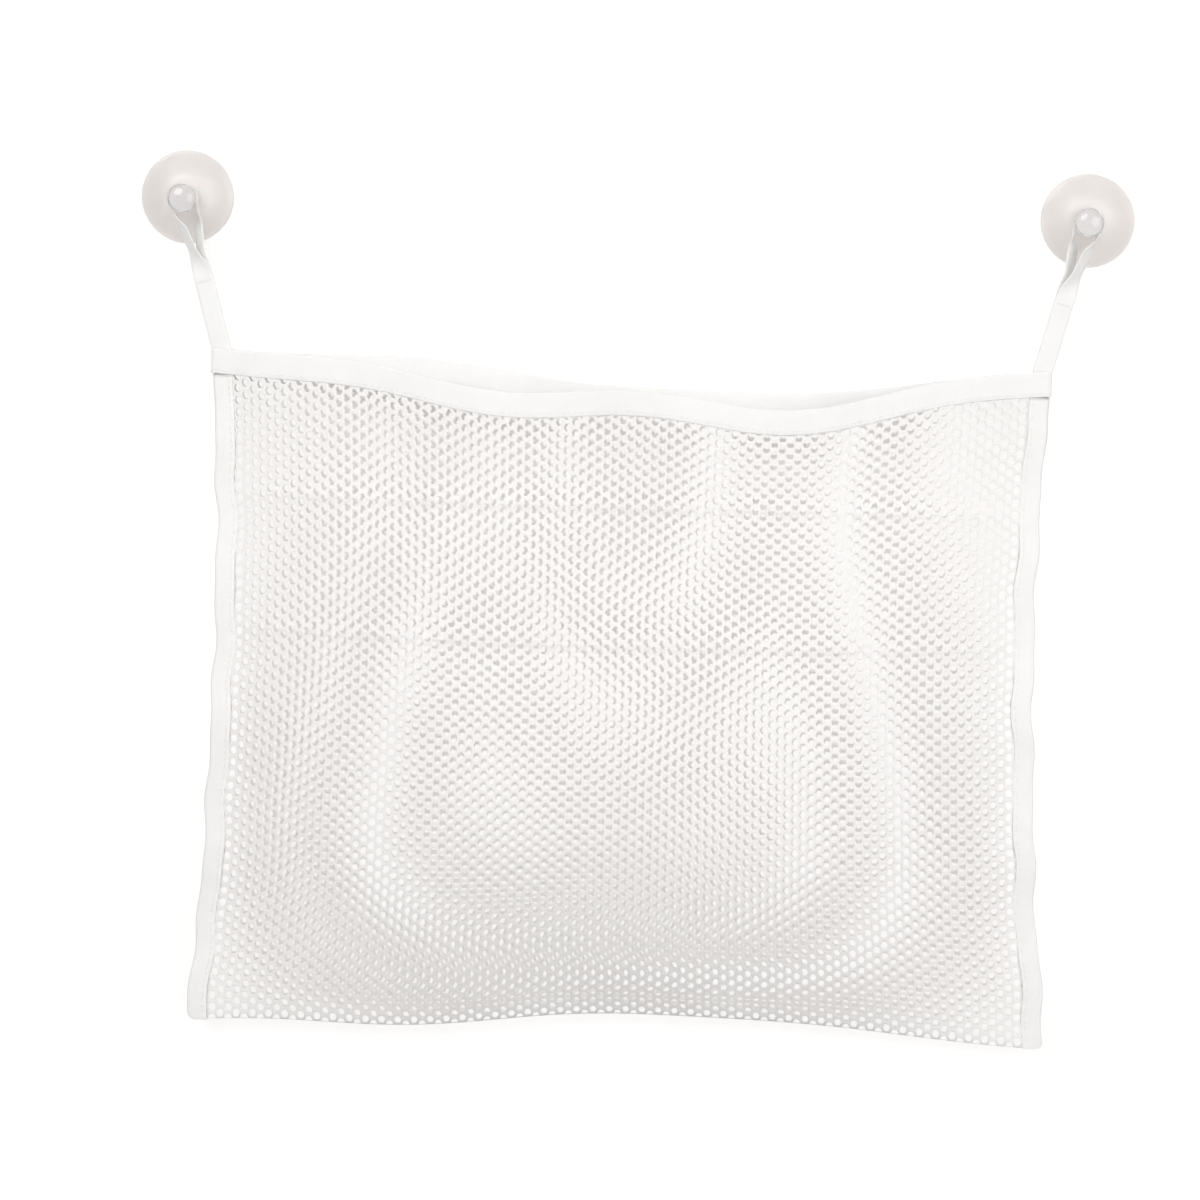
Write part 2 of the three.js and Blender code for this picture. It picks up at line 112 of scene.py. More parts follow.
def stitch_lift(share: np.ndarray, rise: float, dip: float) -> np.ndarray:
    """Height of a stitch off the cloth, whose ends at shares -0.5 and 0.5 dive in by the dip."""
    return rise - dip * np.abs(2.0 * share) ** 3


def wave_scale(spacing: float) -> float:
    """Scale that gives a wave texture this spacing: at scale 1 it repeats every 2 pi / 20."""
    return math.pi / 10.0 / spacing


def linear_colour(code: str) -> tuple[float, float, float, float]:
    """Linear RGBA of an sRGB hex value.

    Args:
        code: Colour as "#RRGGBB".

    Returns:
        The colour in linear light, with alpha 1.
    """
    channels = [int(code[i : i + 2], 16) / 255.0 for i in (1, 3, 5)]
    light = [c / 12.92 if c <= 0.04045 else ((c + 0.055) / 1.055) ** 2.4 for c in channels]
    return (*light, 1.0)


# Helpers for meshes.


def make_piece(
    name: str,
    points: np.ndarray,
    faces: Sequence[Sequence[int]],
    uv: np.ndarray | None = None,
) -> bpy.types.Object:
    """Smooth-shaded mesh object with its faces turned outwards.

    Args:
        name: Name of the piece.
        points: Vertex positions, one row each.
        faces: Vertex indices of each face.
        uv: Distances along and across the cloth at each vertex, in metres.

    Returns:
        The new object, linked to the scene.
    """
    mesh = bpy.data.meshes.new(name)
    mesh.from_pydata(np.asarray(points, float).reshape(-1, 3).tolist(), [], [list(f) for f in faces])
    if signed_volume(mesh) < 0:
        mesh.flip_normals()
    mesh.polygons.foreach_set("use_smooth", np.ones(len(mesh.polygons), bool))
    if uv is not None:
        corner = np.zeros(len(mesh.loops), np.int32)
        mesh.loops.foreach_get("vertex_index", corner)
        layer = mesh.uv_layers.new(name="cloth")
        layer.data.foreach_set("uv", np.asarray(uv, np.float32).reshape(-1, 2)[corner].ravel())
    mesh.update()
    piece = bpy.data.objects.new(name, mesh)
    bpy.context.scene.collection.objects.link(piece)
    return piece


def give_finish(piece: bpy.types.Object, material: bpy.types.Material) -> None:
    """Gives a piece its finish."""
    piece.data.materials.append(material)


def signed_volume(mesh: bpy.types.Mesh) -> float:
    """Volume that a mesh encloses.

    Args:
        mesh: A closed mesh.

    Returns:
        The volume, negative if the faces are turned inwards.
    """
    mesh.calc_loop_triangles()
    at = np.zeros(3 * len(mesh.vertices))
    mesh.vertices.foreach_get("co", at)
    index = np.zeros(3 * len(mesh.loop_triangles), np.int32)
    mesh.loop_triangles.foreach_get("vertices", index)
    a, b, c = (at.reshape(-1, 3)[index.reshape(-1, 3)[:, i]] for i in range(3))
    return float((a * np.cross(b, c)).sum() / 6.0)


def loft_faces(rings: int, count: int) -> list[tuple[int, ...]]:
    """Quads between consecutive closed rings of equal count.

    Args:
        rings: Number of rings.
        count: Points in each ring.

    Returns:
        Faces as vertex indices, ring after ring.
    """
    faces = []
    for i in range(rings - 1):
        for k in range(count):
            a, b = i * count + k, i * count + (k + 1) % count
            faces.append((a, b, b + count, a + count))
    return faces


def thread_tubes(
    centres: np.ndarray, ups: np.ndarray, radius: float, sides: int = 6
) -> tuple[np.ndarray, list[list[int]]]:
    """Closed tubes of sewing thread along several short lines.

    Args:
        centres: Points on each line, as an array of lines by points by 3.
        ups: Direction off the cloth at each of those points.
        radius: Radius of the thread.
        sides: Flats round the thread.

    Returns:
        The vertices and the faces.
    """
    heading = unit(np.gradient(centres, axis=1))
    out = unit(ups - heading * (ups * heading).sum(-1, keepdims=True))
    across = np.cross(heading, out)
    angle = 2.0 * np.pi * np.arange(sides) / sides
    ring = np.cos(angle)[:, None] * out[:, :, None] + np.sin(angle)[:, None] * across[:, :, None]
    points = centres[:, :, None] + radius * ring
    lines, steps = centres.shape[:2]
    pattern = loft_faces(steps, sides)
    pattern.append(tuple(range(sides)))
    pattern.append(tuple(range((steps - 1) * sides, steps * sides)))
    faces = [[v + line * steps * sides for v in face] for line in range(lines) for face in pattern]
    return points.reshape(-1, 3), faces


# Finishes. Each gives one procedural material.


def add_node(
    tree: bpy.types.NodeTree,
    kind: str,
    inputs: dict[str | int, object] | None = None,
    **settings: object,
) -> bpy.types.Node:
    """Adds a shader node, sets it up and links it.

    Args:
        tree: Node tree that takes the node.
        kind: Blender's type name of the node.
        inputs: Values or output sockets for its inputs, by name or number.
        **settings: Properties of the node.

    Returns:
        The new node.
    """
    node = tree.nodes.new(kind)
    for name, value in settings.items():
        setattr(node, name, value)
    for key, value in (inputs or {}).items():
        if isinstance(value, bpy.types.NodeSocket):
            tree.links.new(value, node.inputs[key])
        else:
            node.inputs[key].default_value = value
    return node


def seen_rays(tree: bpy.types.NodeTree) -> bpy.types.NodeSocket:
    """Tells rays that end in the picture from rays that only carry light.

    Args:
        tree: Node tree that takes the nodes.

    Returns:
        Socket that is 1 for rays seen straight, in a shine or through clear plastic, and 0 for the rest.
    """
    rays = add_node(tree, "ShaderNodeLightPath").outputs
    seen = rays["Is Camera Ray"]
    for ray in ("Is Glossy Ray", "Is Transmission Ray"):
        seen = add_node(tree, "ShaderNodeMath", {0: seen, 1: rays[ray]}, operation="MAXIMUM").outputs[0]
    return seen


def new_material(name: str) -> tuple[bpy.types.Material, bpy.types.NodeTree]:
    """Makes an empty node material.

    Args:
        name: What the material is and how it is made.

    Returns:
        The material and its node tree.
    """
    material = bpy.data.materials.new(name)
    material.use_nodes = True
    material.node_tree.nodes.clear()
    return material, material.node_tree


@dataclass(frozen=True)
class KnittedNet:
    """Knitted polyester net, heat set."""

    # To the eye: a soft, slightly cloudy white with hardly any shine, and fine loops along each strand.
    bright: str = "#F5F3F1"
    dull: str = "#EDEAE8"
    patch: float = 45 * MM
    roughness: float = 0.62
    ior: float = 1.5
    specular: float = 0.35
    sheen: float = 0.15
    sheen_roughness: float = 0.5
    # Loops of the yarn are about 0.5 mm long; drawn at 0.9 mm so that they show.
    loop: float = 0.9 * MM
    loop_height: float = 0.06 * MM
    loop_strength: float = 0.6

    def material(self) -> bpy.types.Material:
        """Builds the material.

        Returns:
            The net's material.
        """
        material, tree = new_material("knitted_polyester_net")
        place = add_node(tree, "ShaderNodeTexCoord").outputs["Object"]
        cloudy = add_node(
            tree, "ShaderNodeTexNoise", {"Vector": place, "Scale": 1.0 / self.patch, "Detail": 3.0}
        )
        colour = add_node(
            tree,
            "ShaderNodeMix",
            {0: cloudy.outputs["Fac"], 6: linear_colour(self.dull), 7: linear_colour(self.bright)},
            data_type="RGBA",
        )
        loops = add_node(
            tree, "ShaderNodeTexVoronoi", {"Vector": place, "Scale": 1.0 / self.loop}, feature="SMOOTH_F1"
        )
        relief = add_node(
            tree,
            "ShaderNodeBump",
            {
                "Height": loops.outputs["Distance"],
                "Strength": self.loop_strength,
                "Distance": self.loop_height,
            },
            invert=True,
        )
        surface = add_node(
            tree,
            "ShaderNodeBsdfPrincipled",
            {
                "Base Color": colour.outputs[2],
                "Roughness": self.roughness,
                "IOR": self.ior,
                "Specular IOR Level": self.specular,
                "Sheen Weight": self.sheen,
                "Sheen Roughness": self.sheen_roughness,
                "Normal": relief.outputs["Normal"],
            },
        )
        add_node(tree, "ShaderNodeOutputMaterial", {"Surface": surface.outputs["BSDF"]})
        return material


@dataclass(frozen=True)
class WovenTape:
    """Woven polyester tape or ribbon."""

    # To the eye: an even, matt white with a fine grain of crossing threads and a soft bloom at the edges.
    name: str
    bright: str
    shade: str
    # Threads lie 0.45 mm apart; drawn at 0.8 mm or more so that they show.
    thread: float = 0.8 * MM
    thread_height: float = 0.07 * MM
    thread_strength: float = 0.5
    thread_wander: float = 0.4
    # How much the threads along the tape show against those across, and how much the weave sets the tone.
    cross_share: float = 1.0
    weave_tone: float = 0.3
    mottle: float = 18 * MM
    roughness: float = 0.7
    ior: float = 1.5
    specular: float = 0.35
    sheen: float = 0.2
    sheen_roughness: float = 0.45
    # Share of the light that wanders through the threads, and how far it gets.
    soft_share: float = 0.1
    soft_reach: float = 0.6 * MM

    def material(self) -> bpy.types.Material:
        """Builds the material, with warp and weft as two crossed waves in the cloth's own lengths.

        Returns:
            The tape's material.
        """
        material, tree = new_material(self.name)
        cloth = add_node(tree, "ShaderNodeUVMap", uv_map="cloth").outputs["UV"]
        place = add_node(tree, "ShaderNodeTexCoord").outputs["Object"]
        threads = {"Vector": cloth, "Scale": wave_scale(self.thread), "Distortion": self.thread_wander}
        weft = add_node(tree, "ShaderNodeTexWave", threads, bands_direction="X")
        warp = add_node(tree, "ShaderNodeTexWave", threads, bands_direction="Y")
        weave = add_node(
            tree,
            "ShaderNodeMath",
            {0: warp.outputs["Fac"], 1: self.cross_share, 2: weft.outputs["Fac"]},
            operation="MULTIPLY_ADD",
        )
        mottle = add_node(
            tree, "ShaderNodeTexNoise", {"Vector": place, "Scale": 1.0 / self.mottle, "Detail": 4.0}
        )
        depth = add_node(
            tree,
            "ShaderNodeMath",
            {0: weave.outputs[0], 1: self.weave_tone, 2: mottle.outputs["Fac"]},
            operation="MULTIPLY_ADD",
        )
        colour = add_node(
            tree,
            "ShaderNodeMix",
            {0: depth.outputs[0], 6: linear_colour(self.shade), 7: linear_colour(self.bright)},
            data_type="RGBA",
        )
        relief = add_node(
            tree,
            "ShaderNodeBump",
            {
                "Height": weave.outputs[0],
                "Strength": self.thread_strength,
                "Distance": self.thread_height,
            },
        )
        surface = add_node(
            tree,
            "ShaderNodeBsdfPrincipled",
            {
                "Base Color": colour.outputs[2],
                "Roughness": self.roughness,
                "IOR": self.ior,
                "Specular IOR Level": self.specular,
                "Sheen Weight": self.sheen,
                "Sheen Roughness": self.sheen_roughness,
                "Subsurface Weight": self.soft_share,
                "Subsurface Radius": (1.0, 1.0, 1.0),
                "Subsurface Scale": self.soft_reach,
                "Normal": relief.outputs["Normal"],
            },
        )
        add_node(tree, "ShaderNodeOutputMaterial", {"Surface": surface.outputs["BSDF"]})
        return material


@dataclass(frozen=True)
class SpunThread:
    """Spun polyester sewing thread, twisted."""

    # To the eye: a dull white line, faintly barred by its twist.
    bright: str = "#F7F5F3"
    shade: str = "#EAE6E3"
    twist: float = 0.5 * MM
    twist_wander: float = 1.0
    roughness: float = 0.75
    ior: float = 1.5
    sheen: float = 0.2

    def material(self) -> bpy.types.Material:
        """Builds the material.

        Returns:
            The thread's material.
        """
        material, tree = new_material("spun_polyester_thread")
        place = add_node(tree, "ShaderNodeTexCoord").outputs["Object"]
        twist = add_node(
            tree,
            "ShaderNodeTexWave",
            {"Vector": place, "Scale": wave_scale(self.twist), "Distortion": self.twist_wander},
            bands_direction="DIAGONAL",
        )
        colour = add_node(
            tree,
            "ShaderNodeMix",
            {0: twist.outputs["Fac"], 6: linear_colour(self.shade), 7: linear_colour(self.bright)},
            data_type="RGBA",
        )
        surface = add_node(
            tree,
            "ShaderNodeBsdfPrincipled",
            {
                "Base Color": colour.outputs[2],
                "Roughness": self.roughness,
                "IOR": self.ior,
                "Sheen Weight": self.sheen,
            },
        )
        add_node(tree, "ShaderNodeOutputMaterial", {"Surface": surface.outputs["BSDF"]})
        return material


@dataclass(frozen=True)
class MouldedVinyl:
    """Soft clear PVC, moulded: the mould leaves the disc frosted and the knob smooth."""

    # To the eye: a milky disc with a broad, soft shine, and a clear, glossy knob.
    tint: str = "#FAF6F4"
    haze: str = "#F3EEEB"
    knob_tint: str = "#F8F9FB"
    # Heights over the wall between which the frosting ends.
    frosted: float = 12 * MM
    smooth: float = 20 * MM
    bloom: float = 7 * MM
    disc_roughness: tuple[float, float] = (0.36, 0.52)
    knob_roughness: float = 0.1
    disc_clearness: float = 0.6
    knob_clearness: float = 0.82
    ior: float = 1.53
    coat: float = 0.3
    coat_roughness: float = 0.12
    grain: float = 1.2 * MM
    grain_height: float = 0.03 * MM
    grain_strength: float = 0.3

    def material(self) -> bpy.types.Material:
        """Builds the material, which changes from disc to knob with the height over the wall.

        Returns:
            The cup's material.
        """
        material, tree = new_material("moulded_soft_pvc")
        place = add_node(tree, "ShaderNodeTexCoord").outputs["Object"]
        axes = add_node(tree, "ShaderNodeSeparateXYZ", {0: place})
        knob = add_node(
            tree,
            "ShaderNodeMapRange",
            {"Value": axes.outputs["Y"], "From Min": -self.frosted, "From Max": -self.smooth},
        ).outputs["Result"]
        bloom = add_node(
            tree, "ShaderNodeTexNoise", {"Vector": place, "Scale": 1.0 / self.bloom, "Detail": 4.0}
        ).outputs["Fac"]
        disc = add_node(
            tree,
            "ShaderNodeMix",
            {0: bloom, 6: linear_colour(self.haze), 7: linear_colour(self.tint)},
            data_type="RGBA",
        )
        colour = add_node(
            tree,
            "ShaderNodeMix",
            {0: knob, 6: disc.outputs[2], 7: linear_colour(self.knob_tint)},
            data_type="RGBA",
        )
        least, most = self.disc_roughness
        frost = add_node(tree, "ShaderNodeMapRange", {"Value": bloom, "To Min": least, "To Max": most})
        rough = add_node(
            tree, "ShaderNodeMix", {0: knob, 2: frost.outputs["Result"], 3: self.knob_roughness}
        )
        clear = add_node(
            tree,
            "ShaderNodeMapRange",
            {"Value": knob, "To Min": self.disc_clearness, "To Max": self.knob_clearness},
        )
        grain = add_node(
            tree, "ShaderNodeTexNoise", {"Vector": place, "Scale": 1.0 / self.grain, "Detail": 2.0}
        )
        relief = add_node(
            tree,
            "ShaderNodeBump",
            {
                "Height": grain.outputs["Fac"],
                "Strength": self.grain_strength,
                "Distance": self.grain_height,
            },
        )
        surface = add_node(
            tree,
            "ShaderNodeBsdfPrincipled",
            {
                "Base Color": colour.outputs[2],
                "Roughness": rough.outputs[0],
                "IOR": self.ior,
                "Transmission Weight": clear.outputs["Result"],
                "Coat Weight": self.coat,
                "Coat Roughness": self.coat_roughness,
                "Normal": relief.outputs["Normal"],
            },
        )
        add_node(tree, "ShaderNodeOutputMaterial", {"Surface": surface.outputs["BSDF"]})
        return material


@dataclass(frozen=True)
class StagePaint:
    """Matt emulsion of the set, rolled on."""

    # To the eye: a pale ground without shine, with soft shadows near the bag and one plain tone beyond.
    name: str
    glow: float
    open_tone: float
    colour: str = "#C3C1BF"
    # Distances from the model's origin between which the paint becomes the plain tone.
    near: float = 0.9
    far: float = 2.6

    def material(self) -> bpy.types.Material:
        """Builds the material, which is seen only from its front.

        Returns:
            The paint's material.
        """
        material, tree = new_material(self.name)
        seen = seen_rays(tree)
        paint = add_node(tree, "ShaderNodeBsdfDiffuse", {"Color": linear_colour(self.colour)})
        strength = add_node(tree, "ShaderNodeMath", {0: seen, 1: self.glow}, operation="MULTIPLY")
        glow = add_node(tree, "ShaderNodeEmission", {"Strength": strength.outputs[0]})
        close = add_node(tree, "ShaderNodeAddShader", {0: paint.outputs[0], 1: glow.outputs[0]})
        tone = add_node(tree, "ShaderNodeMath", {0: seen, 1: self.open_tone}, operation="MULTIPLY")
        plain = add_node(tree, "ShaderNodeEmission", {"Strength": tone.outputs[0]})
        place = add_node(tree, "ShaderNodeTexCoord").outputs["Object"]
        away = add_node(tree, "ShaderNodeVectorMath", {0: place}, operation="LENGTH")
        fade = add_node(
            tree,
            "ShaderNodeMapRange",
            {"Value": away.outputs["Value"], "From Min": self.near, "From Max": self.far},
        )
        front = add_node(
            tree,
            "ShaderNodeMixShader",
            {0: fade.outputs["Result"], 1: close.outputs[0], 2: plain.outputs[0]},
        )
        clear = add_node(tree, "ShaderNodeBsdfTransparent")
        facing = add_node(tree, "ShaderNodeNewGeometry").outputs["Backfacing"]
        both = add_node(
            tree, "ShaderNodeMixShader", {0: facing, 1: front.outputs[0], 2: clear.outputs[0]}
        )
        add_node(tree, "ShaderNodeOutputMaterial", {"Surface": both.outputs[0]})
        return material


# The bag.


@dataclass(frozen=True)
class BagShape:
    """Outline and swelling of the two panels, as functions of x across and drop below the net's top."""

    top_width: float
    bottom_width: float
    net_height: float
    net_top: float
    seam_plane: float
    # The side seams bow to the front, and the sides are drawn in above the flared bottom corners.
    seam_bow: float = 8 * MM
    draw_in: float = 4.5 * MM
    corner_flare: float = 100 * MM
    # How far the middle of each panel stands off the seams, at the belly and at the mouth.
    front_belly: float = 50 * MM
    back_belly: float = 18 * MM
    belly_drop: float = 235 * MM
    front_mouth: float = 12 * MM
    back_mouth: float = 4 * MM
    # Half the distance between the panels at the seams, and the share of it that the bottom fold takes.
    mouth_half: float = 2.75 * MM
    seam_half: float = 0.55 * MM
    taper_length: float = 45 * MM
    fold_length: float = 7 * MM
    fold_share: float = 0.7
    # The net swells and ripples between the side tapes, and lies calm above the bottom fold.
    tape_inset: float = 10.8 * MM
    calm_length: float = 30 * MM
    # The mouth hangs lowest to the right of its middle, and the fold is lifted most there.
    front_sag: tuple[float, ...] = (18.8 * MM, -3.5 * MM, -0.1 * MM, 0.0, -3.2 * MM, 1.2 * MM, 0.9 * MM)
    back_sag: tuple[float, ...] = (13.3 * MM, -4.7 * MM, -1.1 * MM, 0.5 * MM, 0.4 * MM, 1.0 * MM)
    bottom_rise: tuple[float, ...] = (9.1 * MM, -3.0 * MM, -1.5 * MM, 0.6 * MM, 0.7 * MM, 0.8 * MM)
    # Folds left from the packing, as levels below the top corners.
    creases: tuple[float, ...] = (73 * MM, 142 * MM)
    crease_depth: float = 2.1 * MM
    crease_width: float = 2.0 * MM
    # Slack of the net: waves across and down, a slanting wave, and a frill that dies out below the mouth.
    # The length of a wave is given as the distance over which it turns by one radian.
    ripple: float = 1.3 * MM
    slack_across: float = 31 * MM
    slack_down: float = 43 * MM
    slack_share: float = 0.6
    slant_across: float = 17 * MM
    slant_down: float = 26 * MM
    slant_share: float = 0.6
    frill_across: float = 16 * MM
    frill_reach: float = 30 * MM
    frill_share: float = 0.8
    # Angles at which those waves start: across and slanting, down, and in the frill.
    front_starts: tuple[float, float, float] = (0.7, 1.33, 1.4)
    back_starts: tuple[float, float, float] = (2.9, 5.51, 5.8)
    # Waves that the stitching draws into the side edges, growing from the first drop to the full one:
    # long and short ones sideways, deep ones to the front and back.
    edge_wave: float = 0.7 * MM
    edge_reach: float = 18 * MM
    edge_first: float = 10 * MM
    edge_full: float = 50 * MM
    edge_long: float = 9 * MM
    edge_short: float = 5.2 * MM
    edge_short_share: float = 0.6
    edge_deep: float = 11.5 * MM
    edge_deep_share: float = 1.4
    left_start: float = 0.4
    right_start: float = 2.2

    @classmethod
    def from_frame(cls) -> "BagShape":
        """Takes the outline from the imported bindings.

        Returns:
            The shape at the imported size.
        """
        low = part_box("side_binding_left")[0]
        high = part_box("side_binding_right")[1]
        mouth_low, mouth_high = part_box("top_binding_front")
        net_top = mouth_high.z - EDGE_INSET
        return cls(
            top_width=mouth_high.x - mouth_low.x,
            bottom_width=high.x - low.x,
            net_height=net_top - low.z,
            net_top=net_top,
            seam_plane=float(JOINTS["bag_sway"][1]),
        )

    def half_width(self, drop: np.ndarray) -> np.ndarray:
        """Half the bag's width.

        Args:
            drop: Places below the net's top edge.

        Returns:
            Half widths at those places.
        """
        flare_top = self.net_height - self.corner_flare
        pull = np.sin(np.pi * np.clip(np.asarray(drop) / flare_top, 0.0, 1.0))
        flare = smoothstep(drop, flare_top, self.net_height)
        spread = (self.bottom_width - self.top_width) / 2.0
        return self.top_width / 2.0 - self.draw_in * pull + spread * flare

    def seam_at(self, drop: np.ndarray) -> np.ndarray:
        """Depth position of the side seams."""
        return self.seam_plane - self.seam_bow * np.sin(np.pi * np.asarray(drop) / self.net_height) ** 2

    def parting(self, drop: np.ndarray) -> np.ndarray:
        """Half the distance between the panels at the seams.

        Args:
            drop: Places below the net's top edge.

        Returns:
            Distances, largest at the mouth and least at the bottom fold.
        """
        closing = smoothstep(drop, MOUTH_TAPE_END, MOUTH_TAPE_END + self.taper_length)
        half = self.mouth_half + (self.seam_half - self.mouth_half) * closing
        folding = smoothstep(drop, self.net_height - self.fold_length, self.net_height)
        return half * (1.0 - self.fold_share * folding)

    def swell(self, side: Side, drop: np.ndarray) -> np.ndarray:
        """How far the middle of a panel stands off the seams.

        Args:
            side: Which panel.
            drop: Places below the net's top edge.

        Returns:
            Distances outwards.
        """
        belly = self.front_belly if side is Side.FRONT else self.back_belly
        mouth = self.front_mouth if side is Side.FRONT else self.back_mouth
        above = mouth + (belly - mouth) * smoothstep(drop, 0.0, self.belly_drop)
        below = np.clip((drop - self.belly_drop) / (self.net_height - self.belly_drop), 0.0, 1.0)
        return np.where(drop < self.belly_drop, above, belly * (1.0 - below**2))

    def relief(self, side: Side, x: np.ndarray, drop: np.ndarray, z: np.ndarray) -> np.ndarray:
        """Packing creases and slack ripples of a panel.

        Args:
            side: Which panel.
            x: Places across the bag.
            drop: Places below the net's top edge.
            z: Heights of those places.

        Returns:
            Distances outwards.
        """
        level = self.net_top - z
        crease = sum(np.exp(-(((level - at) / self.crease_width) ** 2)) for at in self.creases)
        start, start_down, start_frill = self.front_starts if side is Side.FRONT else self.back_starts
        slack = np.sin(x / self.slack_across + start) * np.sin(drop / self.slack_down + start_down)
        slant = np.sin(x / self.slant_across - drop / self.slant_down + start)
        slack = slack + self.slant_share * slant
        dying = np.exp(-np.clip(drop, 0.0, None) / self.frill_reach)
        frill = np.sin(x / self.frill_across + start_frill) * dying
        waves = self.slack_share * slack + self.frill_share * frill
        return self.crease_depth * crease + self.ripple * waves

    def edge_waves(self, x: np.ndarray, drop: np.ndarray) -> tuple[np.ndarray, np.ndarray]:
        """Waves that the stitching draws into the side edges.

        Args:
            x: Places across the bag.
            drop: Places below the net's top edge.

        Returns:
            Shifts along X and shifts along Y.
        """
        near = np.exp(-np.clip(self.half_width(drop) - np.abs(x), 0.0, None) / self.edge_reach)
        height = self.edge_wave * near * smoothstep(drop, self.edge_first, self.edge_full)
        start = np.where(x < 0, self.left_start, self.right_start)
        long_wave = np.sin(drop / self.edge_long + 2.0 * start)
        short_wave = np.sin(drop / self.edge_short + start)
        sideways = np.sign(x) * height * (long_wave + self.edge_short_share * short_wave)
        return sideways, self.edge_deep_share * height * np.sin(drop / self.edge_deep + start)

    def point(self, side: Side, x: np.ndarray, drop: np.ndarray) -> np.ndarray:
        """Points of a panel's middle surface.

        Args:
            side: Which panel.
            x: Places across the bag.
            drop: Places below the net's top edge.

        Returns:
            Positions, with X, Y and Z along the last axis.
        """
        x, drop = np.broadcast_arrays(np.asarray(x, float), np.asarray(drop, float))
        half = self.half_width(drop)
        share = drop / self.net_height
        across = np.clip((x / half + 1.0) / 2.0, 0.0, 1.0)
        sag = sine_series(across, self.front_sag if side is Side.FRONT else self.back_sag)
        z = self.net_top - sag * (1.0 - share) - self.net_height * share
        z = z + sine_series(across, self.bottom_rise) * share
        fullness = np.clip(1.0 - (x / (half - self.tape_inset)) ** 2, 0.0, None)
        loose = 1.0 - smoothstep(drop, self.net_height - self.calm_length, self.net_height)
        slack = self.relief(side, x, drop, z) * np.sqrt(fullness) * loose
        off = self.parting(drop) + self.swell(side, drop) * fullness + slack
        sideways, deep = self.edge_waves(x, drop)
        y = self.seam_at(drop) + side.value * off + deep
        return np.stack([x + sideways, y, z], axis=-1)

    def normal(self, side: Side, x: np.ndarray, drop: np.ndarray) -> np.ndarray:
        """Outward normals of a panel's middle surface.

        Args:
            side: Which panel.
            x: Places across the bag.
            drop: Places below the net's top edge.

        Returns:
            Directions of length 1, along the last axis.
        """
        step = 0.5 * MM
        along_x = self.point(side, x + step, drop) - self.point(side, x - step, drop)
        along_drop = self.point(side, x, drop + step) - self.point(side, x, drop - step)
        return unit(-side.value * np.cross(along_x, along_drop))


